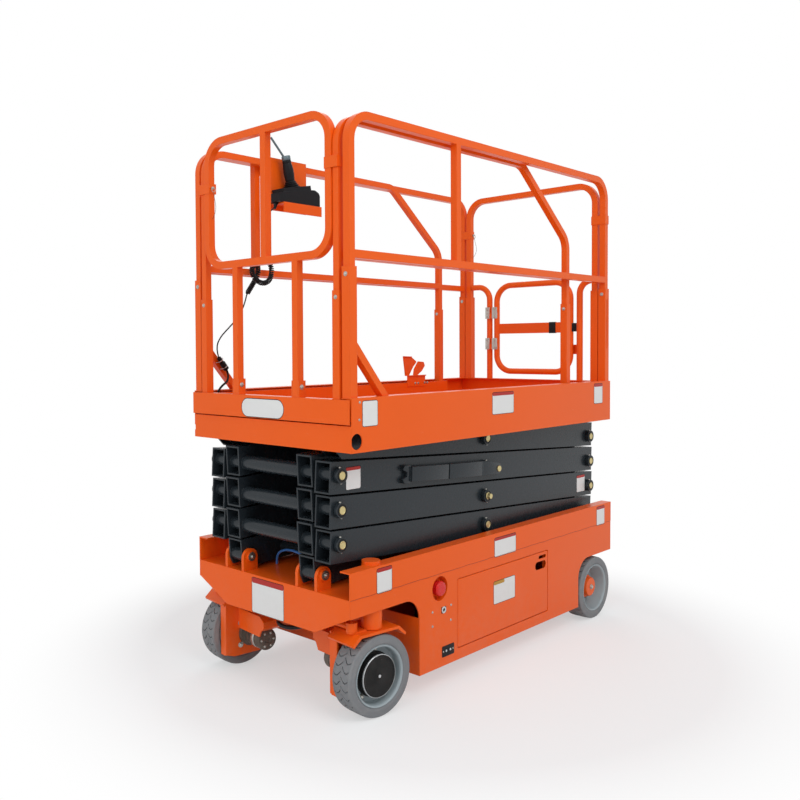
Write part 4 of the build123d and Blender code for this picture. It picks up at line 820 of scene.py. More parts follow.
# ------------------------------------------------------------------ geometry nodes
class Pattern:
    """Geometry Nodes tree that repeats a mesh, run once on a mesh and then turned into a plain one."""

    def __init__(self, name: str, inputs: dict[str, tuple[str, object]]) -> None:
        """Start the tree.

        Args:
            name: Name of the tree.
            inputs: Name to socket kind and default, without the geometry and the material.
        """
        self.tree = bpy.data.node_groups.new(name, "GeometryNodeTree")
        face = self.tree.interface
        face.new_socket(name="Geometry", in_out="INPUT", socket_type="NodeSocketGeometry")
        self.names = {}
        for key, (kind, value) in inputs.items():
            socket = face.new_socket(name=key, in_out="INPUT", socket_type="NodeSocket" + kind)
            socket.default_value = value
            self.names[key] = socket.identifier
        material = face.new_socket(name="Material", in_out="INPUT", socket_type="NodeSocketMaterial")
        self.names["Material"] = material.identifier
        face.new_socket(name="Geometry", in_out="OUTPUT", socket_type="NodeSocketGeometry")
        self.given = self.tree.nodes.new("NodeGroupInput").outputs
        self.out = self.tree.nodes.new("NodeGroupOutput").inputs

    def node(self, kind: str, wires: dict[object, object], **values: object) -> Socket:
        """Add a node with its inputs fed.

        Args:
            kind: Full class name.
            wires: Input name or index to a socket or a value.
            **values: Properties.

        Returns:
            The node's first output.
        """
        made = self.tree.nodes.new(kind)
        for key, value in values.items():
            setattr(made, key, value)
        for key, value in wires.items():
            if isinstance(value, Socket):
                self.tree.links.new(value, made.inputs[key])
            else:
                made.inputs[key].default_value = value
        return made.outputs[0]

    def math(self, operation: str, *values: object) -> Socket:
        """Math node of the values."""
        return self.node("ShaderNodeMath", dict(enumerate(values)), operation=operation)

    def vector(self, **values: object) -> Socket:
        """Vector of its X, Y or Z."""
        return self.node("ShaderNodeCombineXYZ", values)

    def attribute(self, name: str, kind: str) -> Socket:
        """Named attribute of the geometry."""
        return self.node("GeometryNodeInputNamedAttribute", {"Name": name}, data_type=kind)

    def close(self, points: Socket, piece: Socket, **wires: object) -> "Pattern":
        """End the tree with the piece on every point, as real geometry that has its material.

        Args:
            points: Where it goes.
            piece: What is repeated.
            **wires: Rotation and Scale of the copies.

        Returns:
            This pattern.
        """
        put = self.node("GeometryNodeInstanceOnPoints", {"Points": points, "Instance": piece, **wires})
        real = self.node("GeometryNodeRealizeInstances", {"Geometry": put})
        dressed = self.node("GeometryNodeSetMaterial", {"Geometry": real, "Material": self.given["Material"]})
        self.tree.links.new(dressed, self.out[0])
        return self

    def run(self, mesh: bpy.types.Mesh, **values: object) -> bpy.types.Mesh:
        """Apply the tree to a mesh.

        Args:
            mesh: Its start geometry.
            **values: The tree's inputs.

        Returns:
            A plain mesh.
        """
        holder = new_object("holder", mesh)
        step = holder.modifiers.new("pattern", "NODES")
        step.node_group = self.tree
        for key, value in values.items():
            step[self.names[key]] = value
        ready = holder.evaluated_get(bpy.context.evaluated_depsgraph_get())
        made = bpy.data.meshes.new_from_object(ready)
        bpy.data.objects.remove(holder)
        return made


def ring_pattern() -> Pattern:
    """Copies of the start mesh about the Y axis.

    Returns:
        The pattern.
    """
    made = Pattern("ring of copies", {"Count": ("Int", 12), "Phase": ("Float", 0.0)})
    line = made.node("GeometryNodeMeshLine", {"Count": made.given["Count"], "Offset": (0, 0, 0)})
    index = made.node("GeometryNodeInputIndex", {})
    step = made.math("DIVIDE", math.tau, made.given["Count"])
    angle = made.math("MULTIPLY_ADD", index, step, made.given["Phase"])
    return made.close(line, made.given["Geometry"], Rotation=made.vector(Y=angle))


def fastener_pattern() -> Pattern:
    """Hexagon head on a washer at each point, turned to its aim and scaled by its size.

    Returns:
        The pattern. Its lengths are in half widths of the head.
    """
    washer_depth = 0.2
    dome = {"Vertices": 18, "Radius Top": 0.62, "Radius Bottom": 0.86, "Depth": 0.14}
    made = Pattern("fasteners", {"Head": ("Float", 0.62), "Washer": ("Float", 1.5)})
    height = made.given["Head"]
    pieces = (
        made.node("GeometryNodeMeshCylinder", {"Vertices": 6, "Radius": 1.0, "Depth": height}),
        made.node("GeometryNodeMeshCone", dome),
        made.node("GeometryNodeMeshCylinder", {"Vertices": 22, "Radius": made.given["Washer"], "Depth": washer_depth}),
    )
    half_way = made.math("MULTIPLY_ADD", height, 0.5, washer_depth)
    lifts = (half_way, made.math("ADD", height, washer_depth), washer_depth / 2)
    join = made.tree.nodes.new("GeometryNodeJoinGeometry")
    for piece, lift in zip(pieces, lifts):
        raised = made.node("GeometryNodeTransform", {"Geometry": piece, "Translation": made.vector(Z=lift)})
        made.tree.links.new(raised, join.inputs[0])
    aim = made.node("FunctionNodeAlignRotationToVector", {"Vector": made.attribute("aim", "FLOAT_VECTOR")}, axis="Z")
    size = made.attribute("size", "FLOAT")
    return made.close(made.given["Geometry"], join.outputs[0], Rotation=aim, Scale=size)


def tread_pattern() -> Pattern:
    """Raised studs of the start mesh over a flat field, each turned across its neighbours.

    Returns:
        The pattern.
    """
    made = Pattern(
        "floor tread",
        {"Length": ("Float", 1.0), "Width": ("Float", 0.6), "Columns": ("Int", 30), "Rows": ("Int", 18)},
    )
    rows = made.given["Rows"]
    size = {"Size X": made.given["Length"], "Size Y": made.given["Width"]}
    grid = made.node("GeometryNodeMeshGrid", {**size, "Vertices X": made.given["Columns"], "Vertices Y": rows})
    index = made.node("GeometryNodeInputIndex", {})
    column = made.math("FLOOR", made.math("DIVIDE", index, rows))
    parity = made.math("MODULO", made.math("ADD", index, column), 2.0)
    angle = made.math("MULTIPLY_ADD", parity, math.pi / 2, math.pi / 4)
    return made.close(grid, made.given["Geometry"], Rotation=made.vector(Z=angle))


RING = ring_pattern()
FASTENERS = fastener_pattern()
TREAD = tread_pattern()


@dataclass
class Fastening:
    """Zinc bolts of one body, made together."""

    name: str
    body: str
    washer: float = 1.5
    heads: list[tuple[Point, Point, float]] = field(default_factory=list)

    def bolt(self, place: Sequence[float], aim: Sequence[float], size: float) -> None:
        """Add one bolt.

        Args:
            place: Point of the surface, in millimetres.
            aim: Direction out of the surface.
            size: Half the width of its head, in millimetres.
        """
        self.heads.append((tuple(place), tuple(aim), size))

    def build(self) -> None:
        """Make the bolts."""
        mesh = bpy.data.meshes.new("points")
        mesh.from_pydata([tuple(v * MM for v in place) for place, _, _ in self.heads], [], [])
        mesh.attributes.new("aim", "FLOAT_VECTOR", "POINT")
        mesh.attributes.new("size", "FLOAT", "POINT")
        mesh.attributes["aim"].data.foreach_set("vector", [v for _, aim, _ in self.heads for v in aim])
        mesh.attributes["size"].data.foreach_set("value", [size * MM for _, _, size in self.heads])
        made = FASTENERS.run(mesh, Washer=self.washer, Material=ZINC.material())
        seat(made, self.name, self.body, ZINC)


# ------------------------------------------------------------------ wheels
def wheel_frame(side: Side, x: float, degrees: float = 0.0) -> Matrix:
    """Place of a wheel's own frame.

    Args:
        side: Side of the machine.
        x: Place of the axle, or of the kingpin that it turns about.
        degrees: How far it is steered.

    Returns:
        The matrix, with +Y outboard.
    """
    half_track = 370.0
    turn = Matrix.Rotation(math.radians(degrees), 4, "Z")
    return Matrix.Translation((x, side.value * half_track, 0.0)) @ turn @ Matrix.Diagonal((1, side.value, 1, 1))


def steered(side: Side) -> Matrix:
    """A front wheel's own frame, at the stored steering angle."""
    return wheel_frame(side, x=760.0, degrees=-7.0)


def trailing(side: Side) -> Matrix:
    """A rear wheel's own frame."""
    return wheel_frame(side, x=-770.0)


@dataclass
class Wheels:
    """Four solid tyres with their rims, hubs and bolts, each made about its own axle with +Y outboard.

    lug_stations holds the sections of a tread block, as (y, drop of its top).
    """

    radius: float = 144.0
    tread_base: float = 138.5
    half_width: float = 47.5
    rim: float = 109.0
    axle_z: float = 144.0
    wheel_bolts: int = 5
    lugs: int = 28
    lug_root: float = 1.5
    lug_round: float = 0.7
    lug_half_pitch: float = 0.435
    lug_sweep: float = 0.42
    lug_stations: Outline = ((1.0, 0.0), (9.0, 0.0), (17.0, 0.0), (25.0, 0.1), (33.0, 0.4), (39.0, 1.0))

    def build(self) -> None:
        """Make all four wheels."""
        for side in Side:
            self.tyre(f"tyre_front_{side.word}", f"front_wheel_{side.word}", steered(side))
            self.tyre(f"tyre_rear_{side.word}", f"rear_wheel_{side.word}", trailing(side))
            self.front_centre(side)
            self.rear_centre(side)

    def turned(self, profile: Outline, steps: int = 72) -> Shape:
        """Solid of revolution about the axle from (radius, depth behind the outboard face) corners."""
        corners = [(r, self.half_width - depth) for r, depth in profile]
        return Shape().lathe(corners, steps).place(aimed((0, 0, self.axle_z), (0, 1, 0)))

    def lug(self, row: int) -> bpy.types.Mesh:
        """One tread block at the top of the wheel, about the Y axis through the origin, in metres.

        Args:
            row: 1 for the outboard row, -1 for the inboard one.

        Returns:
            The block's mesh.
        """
        sweep_from, sweep_over, top_narrowing = 6.0, 36.0, 0.94
        pitch = math.tau / self.lugs
        half = self.lug_half_pitch * pitch
        foot = self.tread_base - self.lug_root
        rings = []
        for y, drop in self.lug_stations:
            top = self.radius - drop
            bend = self.lug_sweep * pitch * math.sin(math.pi * (y - sweep_from) / sweep_over)
            flank = [(half, foot), (half, top - self.lug_round), (half * top_narrowing, top)]
            corners = [(-a, r) for a, r in flank] + flank[::-1]
            rings.append([(r * math.sin(a + bend), row * y, r * math.cos(a + bend)) for a, r in corners])
        return Shape().rings(rings).mesh("lug")

    def tyre(self, node: str, body: str, place: Matrix) -> None:
        """Tyre with two staggered rows of curved blocks.

        Args:
            node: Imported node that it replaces.
            body: Body that it rides on.
            place: The wheel's own frame.
        """
        rim, radius, half = self.rim, self.radius, self.half_width
        flank = [
            (rim + 0.3, half - 4), (rim + 4, half - 1.5), (rim + 8, half - 0.2), (rim + 14, half),
            (rim + 17, half - 1.2), (rim + 24, half - 1.2), (radius - 6.0, half - 1.6), (radius - 3.0, half - 3.2),
            (radius - 1.2, half - 6.0), (radius - 1.0, half - 9.0), (self.tread_base, half - 10.0),
            (self.tread_base, 1.8), (radius - 0.3, 1.4),
        ]
        carcass = [(r, half + y) for r, y in flank] + [(r, half - y) for r, y in flank[::-1]]
        shape = self.turned(carcass, 96)
        for row, phase in ((1, 0.0), (-1, math.pi / self.lugs)):
            blocks = RING.run(self.lug(row), Count=self.lugs, Phase=phase, Material=TYRE.material())
            blocks.transform(Matrix.Translation((0, 0, self.axle_z * MM)))
            blocks.transform(Matrix.Scale(1 / MM, 4))
            shape.bm.from_mesh(blocks)
        name = node + "_treaded"
        seat(shape.place(place).mesh(name), name, body, TYRE, node)

    def rim_ring(self, bore: float, dish: Outline) -> Shape:
        """Rim with its flange.

        Args:
            bore: Radius of its hole.
            dish: Rest of its outboard face, as (radius, depth).

        Returns:
            The rim.
        """
        rim, back = self.rim, 2 * self.half_width
        flange = [
            (bore, back - 5), (rim, back - 4), (rim, 4), (rim - 1.5, 1.5), (rim - 5, 2.5), (rim - 8, 6), (rim - 9, 12)
        ]
        return self.turned([*flange, *dish])

    def bolt_circle(
        self, name: str, body: str, place: Matrix, circle: tuple[float, float], washer: float, size: float
    ) -> Fastening:
        """Bolts round a wheel's centre.

        Args:
            name: Name of the piece.
            body: Body that it rides on.
            place: The wheel's own frame.
            circle: Radius of the circle, and its depth behind the outboard face.
            washer: Washer's radius in half widths of the head.
            size: Half the width of a head.

        Returns:
            The bolts, to be built.
        """
        radius, depth = circle
        bolts = Fastening(name, body, washer)
        outwards = place.to_3x3() @ Vector((0, 1, 0))
        for i in range(self.wheel_bolts):
            turn = math.tau * (i + 0.3) / self.wheel_bolts
            spot = Vector((radius * math.cos(turn), self.half_width - depth, self.axle_z + radius * math.sin(turn)))
            bolts.bolt(place @ spot, outwards, size)
        return bolts

    def front_centre(self, side: Side) -> None:
        """Grey rim, black drum with its cap, and hexagon bolts round it.

        Args:
            side: Side of the machine.
        """
        word, body, place, back = side.word, f"front_wheel_{side.word}", steered(side), 2 * self.half_width
        rim = self.rim_ring(78.0, [(self.rim - 10, 34), (self.rim - 13, 38), (78.0, 39)])
        seat(rim.place(place).mesh(f"rim_front_{word}"), f"rim_front_{word}", body, RIM, f"wheel_front_{word}")
        drum = self.turned([
            (0.0, back - 6), (79.0, back - 6), (79.0, 36), (77.0, 34), (74.0, 33), (74.0, 12), (73.0, 10),
            (73.0, 6), (71.0, 4), (66.0, 4), (65.0, 5.5), (20.0, 5.5), (18.0, 4.5), (0.0, 4.5),
        ])
        seat(drum.place(place).mesh(f"drum_{word}"), f"drum_{word}", body, HUB)
        band = self.turned([(74.4, 11), (75.6, 10), (75.6, 6), (73.6, 4.2), (73.0, 6), (74.0, 8)])
        band.add(self.turned([(0.0, 5), (5.5, 5), (5.5, 3.2), (4.2, 2.6), (0.0, 2.6)], 20))
        seat(band.place(place).mesh(f"cap_ring_{word}"), f"cap_ring_{word}", body, PLATE_STEEL)
        self.bolt_circle(f"wheel_bolts_front_{word}", body, place, (88.5, 38.5), 1.25, 8.0).build()

    def rear_centre(self, side: Side) -> None:
        """Deep grey dish with an orange stepped hub.

        Args:
            side: Side of the machine.
        """
        word, body, place, back = side.word, f"rear_wheel_{side.word}", trailing(side), 2 * self.half_width
        rim = self.rim_ring(56.0, [(self.rim - 15, 60), (self.rim - 20, 68), (58.0, 76), (56.0, 76)])
        seat(rim.place(place).mesh(f"rim_rear_{word}"), f"rim_rear_{word}", body, RIM, f"wheel_rear_{word}")
        hub = self.turned([
            (0.0, back - 6), (56.5, back - 6), (56.5, 75), (54.0, 70), (53.0, 46),
            (50.0, 42), (45.0, 41), (44.0, 26), (41.5, 22), (0.0, 20),
        ])
        seat(hub.place(place).mesh(f"hub_rear_{word}"), f"hub_rear_{word}", body, ORANGE)
        bolts = self.bolt_circle(f"wheel_bolts_rear_{word}", body, place, (76.0, 71.0), 1.3, 7.0)
        centre = Vector((0, self.half_width - 20.5, self.axle_z))
        bolts.bolt(place @ centre, place.to_3x3() @ Vector((0, 1, 0)), size=9.0)
        bolts.build()


@dataclass
class SteeringGear:
    """Drive motors with their rings and end caps, and the bolts that hold them to the knuckles."""

    near: float = -94.0
    axle_z: float = 144.0
    flange_bolt: float = 44.1
    cap_screws: int = 6
    cap_circle: float = 28.0
    cap_end: float = 127.6
    form: Outline = (
        (0.0, 0.0), (52.0, 0.0), (52.0, 11.0), (50.0, 14.0), (42.0, 14.5), (36.0, 17.0), (35.0, 40.0), (38.5, 43.0),
        (42.5, 43.5), (42.5, 49.0), (39.0, 50.0), (39.0, 53.0), (42.5, 54.0), (42.5, 60.0), (39.0, 61.0),
        (39.0, 64.0), (42.8, 65.0), (42.8, 92.0), (40.4, 93.0), (40.4, 96.0), (42.8, 97.0), (42.8, 121.0),
        (40.5, 126.0), (36.0, 128.0), (14.0, 128.0), (12.0, 125.0), (0.0, 125.0),
    )
    band: Outline = ((42.9, 68.0), (43.4, 69.0), (43.4, 88.0), (42.9, 89.0), (42.0, 89.0), (42.0, 68.0))

    def build(self) -> None:
        """Make both sides."""
        for side in Side:
            self.motor(side)
            self.bolts(side)

    def motor(self, side: Side) -> None:
        """Motor as one turned form with its flange, ribs and rounded cap, and its zinc band.

        Args:
            side: Side of the machine.
        """
        name = f"motor_{side.word}"
        inward = aimed((0, self.near, self.axle_z), (0, -1, 0))
        for title, profile, finish, nodes in (
            (name, self.form, MOTOR, [f"drive_motor_{side.word}"]),
            (name + "_band", self.band, ZINC, []),
        ):
            made = Shape().lathe(profile, 56).place(inward).place(steered(side))
            seat(made.mesh(title), title, f"steer_{side.word}", finish, *nodes)

    def bolts(self, side: Side) -> None:
        """Flange bolts and the cap's screws.

        Args:
            side: Side of the machine.
        """
        place = steered(side)
        inward = place.to_3x3() @ Vector((0, -1, 0))
        made = Fastening("knuckle_bolts_" + side.word, f"steer_{side.word}")
        for x, z in ((1, 1), (-1, 1), (1, -1), (-1, -1)):
            spot = Vector((x * self.flange_bolt, self.near, self.axle_z + z * self.flange_bolt))
            made.bolt(place @ spot, inward, size=7.5)
        for i in range(self.cap_screws):
            turn = math.tau * i / self.cap_screws
            x, z = self.cap_circle * math.cos(turn), self.cap_circle * math.sin(turn)
            made.bolt(place @ Vector((x, self.near - self.cap_end, self.axle_z + z)), inward, size=3.4)
        made.build()


# ------------------------------------------------------------------ cords
def nurbs(name: str, points: Sequence[Point], radius: float = 0.0) -> bpy.types.Curve:
    """Curve of one NURBS spline.

    Args:
        name: Name of the curve.
        points: Control points, in metres.
        radius: Radius of the cord, 0 for a bare line.

    Returns:
        The curve.
    """
    curve = bpy.data.curves.new(name, "CURVE")
    curve.dimensions = "3D"
    spline = curve.splines.new("NURBS")
    spline.points.add(len(points) - 1)
    for spot, place in zip(spline.points, points):
        spot.co = (*place, 1)
    spline.order_u = 3
    spline.use_endpoint_u = True
    spline.resolution_u = 4
    if radius:
        curve.bevel_depth = radius
        curve.bevel_resolution = 3
        curve.use_fill_caps = True
    return curve


def smooth_line(points: Sequence[Point]) -> list[Vector]:
    """Follow the smooth curve of a route.

    Args:
        points: Control points, in metres.

    Returns:
        Points along the curve.
    """
    holder = new_object("line", nurbs("line", points))
    mesh = bpy.data.meshes.new_from_object(holder)
    line = [v.co.copy() for v in mesh.vertices]
    bpy.data.objects.remove(holder)
    return line


def length_of(line: Sequence[Vector]) -> float:
    """Length along points."""
    return sum((b - a).length for a, b in zip(line, line[1:]))


@dataclass(frozen=True)
class Hose:
    """A plain cord along a route in metres, fixed at both ends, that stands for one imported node."""

    name: str
    node: str
    body: str
    finish: Finish
    radius: float
    route: tuple[Point, ...]


@dataclass
class Cords:
    """The control cable with its curly stretch, the conduit below its socket, and the hydraulic hoses."""

    cable_radius: float = 0.0028
    curl_radius: float = 0.0086
    curl_pitch: float = 0.0078
    steps_per_turn: int = 12
    swell_steps: int = 10
    lead: tuple[Point, ...] = (
        (0.590, -0.300, 1.888), (0.598, -0.300, 1.862), (0.634, -0.302, 1.842),
        (0.646, -0.306, 1.800), (0.640, -0.308, 1.748), (0.646, -0.308, 1.700),
    )
    curl: tuple[Point, ...] = (
        (0.646, -0.308, 1.700), (0.634, -0.306, 1.655), (0.612, -0.300, 1.610), (0.630, -0.296, 1.560),
        (0.680, -0.294, 1.546), (0.722, -0.300, 1.576), (0.712, -0.312, 1.622), (0.672, -0.324, 1.630),
        (0.660, -0.332, 1.590), (0.690, -0.334, 1.548), (0.722, -0.334, 1.506),
    )
    tail: tuple[Point, ...] = (
        (0.722, -0.334, 1.506), (0.730, -0.342, 1.462), (0.746, -0.356, 1.416), (0.786, -0.368, 1.372),
        (0.832, -0.374, 1.330), (0.852, -0.375, 1.286), (0.838, -0.375, 1.248),
    )
    hoses: tuple[Hose, ...] = (
        Hose("conduit_run", "socket_conduit", "platform", CABLE, 0.0045, (
            (0.800, -0.375, 1.202), (0.788, -0.375, 1.178), (0.796, -0.374, 1.150), (0.824, -0.373, 1.136),
            (0.846, -0.373, 1.112), (0.852, -0.374, 1.076), (0.850, -0.374, 1.024),
        )),
        Hose("hydraulic_hose", "drive_hose", "chassis", CABLE, 0.008, (
            (0.556, -0.112, 0.268), (0.606, -0.110, 0.270), (0.658, -0.106, 0.269), (0.714, -0.098, 0.265),
            (0.770, -0.084, 0.258), (0.812, -0.062, 0.249), (0.840, -0.024, 0.244), (0.840, 0.024, 0.243),
            (0.812, 0.062, 0.248), (0.770, 0.084, 0.257), (0.714, 0.098, 0.265), (0.658, 0.106, 0.269),
            (0.606, 0.110, 0.270), (0.556, 0.112, 0.268),
        )),
        Hose("cylinder_hose", "lift_hose", "chassis", HOSE_BLUE, 0.005, (
            (0.744, -0.140, 0.438), (0.744, -0.140, 0.462), (0.747, -0.126, 0.484), (0.748, -0.098, 0.499),
            (0.749, -0.062, 0.506), (0.749, -0.020, 0.505), (0.748, 0.018, 0.495), (0.746, 0.046, 0.476),
            (0.744, 0.060, 0.456), (0.744, 0.060, 0.438),
        )),
    )

    def build(self) -> None:
        """Make each cord."""
        self.control_cable()
        for hose in self.hoses:
            self.plain_cord(hose)

    def helix(self) -> list[Vector]:
        """Wind the curly stretch about its own smooth line.

        Returns:
            Points along the wire, in metres.
        """
        line = smooth_line(self.curl)
        whole = length_of(line)
        count = round(whole / self.curl_pitch) * self.steps_per_turn
        points = []
        normal = Vector((0, 1, 0))
        run, segment = 0.0, 0
        for i in range(count + 1):
            target = whole * i / count
            while segment < len(line) - 2 and run + (line[segment + 1] - line[segment]).length < target:
                run += (line[segment + 1] - line[segment]).length
                segment += 1
            here, there = line[segment], line[segment + 1]
            ahead = (there - here).normalized()
            centre = here + ahead * (target - run)
            normal = (normal - ahead * normal.dot(ahead)).normalized()
            other = ahead.cross(normal)
            swell = min(1.0, i / self.swell_steps, (count - i) / self.swell_steps)
            turn = math.tau * i / self.steps_per_turn
            points.append(centre + self.curl_radius * swell * (math.cos(turn) * normal + math.sin(turn) * other))
        return points

    def strand(
        self, name: str, points: Sequence[Point], radius: float, body: str, finish: Finish, *nodes: str
    ) -> tuple[bpy.types.Object, float]:
        """Make one cord's piece.

        Args:
            name: Name of the piece.
            points: Control points, in metres.
            radius: Radius of the cord.
            body: Body that it rides on.
            finish: Its finish.
            *nodes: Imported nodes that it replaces.

        Returns:
            The piece, and its length in metres.
        """
        curve = nurbs(name, points, radius)
        curve.materials.append(finish.material())
        piece = new_object(name, curve)
        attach(piece, body)
        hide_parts(*nodes)
        whole = length_of(smooth_line(points))
        log.info("%s is %.2f m long", name, whole)
        return piece, whole

    def control_cable(self) -> None:
        """Lead, curly stretch and tail as one cord that ends in its plug."""
        points = [*self.lead[:-1], *self.helix(), *self.tail[1:]]
        piece, whole = self.strand(
            "control_cable", points, self.cable_radius, "platform", CABLE, "cable_lead", "cable_curl", "cable_tail"
        )

    def plain_cord(self, hose: Hose) -> None:
        """Make a hose.

        Args:
            hose: The hose.
        """
        piece, whole = self.strand(hose.name, hose.route, hose.radius, hose.body, hose.finish, hose.node)


# ------------------------------------------------------------------ trim
def rounded(low: Sequence[float], high: Sequence[float], radius: float, steps: int = 5) -> Outline:
    """Outline of a rounded rectangle.

    Args:
        low: Its lower corner.
        high: Its upper corner.
        radius: Radius of its corners.
        steps: Steps round a corner.

    Returns:
        The outline.
    """
    outline = []
    for cx, cy, start in (
        (high[0] - radius, high[1] - radius, 0.0),
        (low[0] + radius, high[1] - radius, 0.5),
        (low[0] + radius, low[1] + radius, 1.0),
        (high[0] - radius, low[1] + radius, 1.5),
    ):
        for i in range(steps + 1):
            turn = math.pi * (start + 0.5 * i / steps)
            outline.append((cx + radius * math.cos(turn), cy + radius * math.sin(turn)))
    return outline


@dataclass
class Trim:
    """Small parts, gathered by body and finish so that each lot is one piece."""

    lots: dict[tuple[str, Finish], Shape] = field(default_factory=dict)
    bolts: dict[str, Fastening] = field(default_factory=dict)

    def lot(self, body: str, finish: Finish) -> Shape:
        """Shape that collects the small parts of one body and finish."""
        return self.lots.setdefault((body, finish), Shape())

    def turned(self, body: str, finish: Finish, profile: Outline, steps: int, place: Matrix) -> None:
        """Add a solid of revolution, made about +Z and then placed, to a lot."""
        self.lot(body, finish).add(Shape().lathe(profile, steps).place(place))

    def bolt(self, body: str, place: Sequence[float], aim: Sequence[float], size: float) -> None:
        """Add a zinc bolt to a body."""
        self.bolts.setdefault(body, Fastening(f"bolts_{body}", body)).bolt(place, aim, size)

    def bolt_pair(self, body: str, middle: Point, reach: Point, size: float) -> None:
        """Add the two ends of a bolt that passes through a tube.

        Args:
            body: Body that it is on.
            middle: Centre of the tube.
            reach: From there to one end.
            size: Half the width of a head.
        """
        for half in (Vector(reach), -Vector(reach)):
            self.bolt(body, Vector(middle) + half, half.normalized(), size)

    def build(self) -> None:
        """Make all the lots."""
        for (body, finish), shape in self.lots.items():
            piece = f"{finish.name}_on_{body}"
            seat(shape.mesh(piece), piece, body, finish)
        for kept in self.bolts.values():
            kept.build()


@dataclass
class Signs:
    """Blank plates with their dark borders and coloured heads."""

    trim: Trim
    corner: float = 6.0
    border: float = 1.8
    head_share: float = 0.15
    chassis_face: float = 415.5
    door_face: float = 414.5
    platform_face: float = 430.0
    beam_face: float = 326.0
    nose_face: float = 914.0
    nose_sign: tuple[Corner, Corner] = ((-91, 297), (83, 427))
    door_sign: tuple[Corner, Corner] = ((-85, 244), (69, 335))
    corner_sign: tuple[Corner, Corner] = ((790, 1021), (865, 1106))
    beam_signs: Sequence[tuple[str, Corner, Corner]] = (
        ("outer_3", (764, 792), (838, 870)), ("outer_2", (-838, 586), (-762, 665))
    )
    chassis_signs: Sequence[tuple[Corner, Corner]] = (
        ((702, 436), (780, 521)), ((-90, 436), (64, 512)), ((-863, 436), (-788, 522))
    )
    platform_signs: Sequence[tuple[Corner, Corner]] = (((-51, 1016), (100, 1102)), ((-811, 1017), (-732, 1108)))

    def sign(
        self, body: str, axis: str, face: float, low: Sequence[float], high: Sequence[float],
        head: Finish | None = PLATE_RED,
    ) -> None:
        """Add one sign.

        Args:
            body: Body that it is stuck to.
            axis: x or y, the way that it faces.
            face: Where the surface is on that axis. The sign looks away from the middle of the machine.
            low: Its lower corner, (y, z) or (x, z).
            high: Its upper corner.
            head: Finish of the band at the top. An amber one ends halfway.
        """
        out = math.copysign(1.0, face)
        ledge = self.border
        dark = rounded((low[0] - ledge, low[1] - ledge), (high[0] + ledge, high[1] + ledge), self.corner + ledge)
        self.trim.lot(body, PLASTIC).prism(dark, axis, (face - out * 0.3, face + out * 0.25), bevel=0)
        self.trim.lot(body, PLATE).prism(rounded(low, high, self.corner), axis, (face, face + out * 0.4), bevel=0)
        if head:
            foot = high[1] - self.head_share * (high[1] - low[1])
            left, right = low[0], high[0]
            if head is PLATE_AMBER:
                middle = (left + right) / 2
                left, right = (middle, right) if out > 0 else (left, middle)
            band = rounded((left, foot), (right, high[1]), min(self.corner, 0.45 * (high[1] - foot)))
            self.trim.lot(body, head).prism(band, axis, (face, face + out * 0.5), bevel=0)

    def build(self) -> None:
        """Place the signs on the chassis, the doors, the platform and the scissor."""
        self.sign("chassis", "x", self.nose_face, *self.nose_sign)
        self.oval()
        for side in Side:
            y = side.value
            for low, high in self.chassis_signs:
                self.sign("chassis", "y", y * self.chassis_face, low, high)
            self.sign(f"door_{side.word}", "y", y * self.door_face, *self.door_sign, PLATE_AMBER)
            self.sign("platform", "y", y * self.platform_face, *self.corner_sign, None)
            for low, high in self.platform_signs:
                self.sign("platform", "y", y * self.platform_face, low, high)
            for body, low, high in self.beam_signs:
                self.sign(body, "y", y * self.beam_face, low, high)

    def oval(self) -> None:
        """Oval plate on the front of the extension."""
        low, high, face, corner, border = (-124.0, 1033.0), (106.0, 1099.0), 928.0, 32.5, 2.5
        dark = rounded((low[0] - border, low[1] - border), (high[0] + border, high[1] + border), corner + border, 10)
        self.trim.lot("extension", PLASTIC).prism(dark, "x", (face - 0.5, face + 0.15), bevel=0)
        self.trim.lot("extension", PLATE).prism(rounded(low, high, corner, 10), "x", (face - 0.5, face + 0.3), bevel=0)


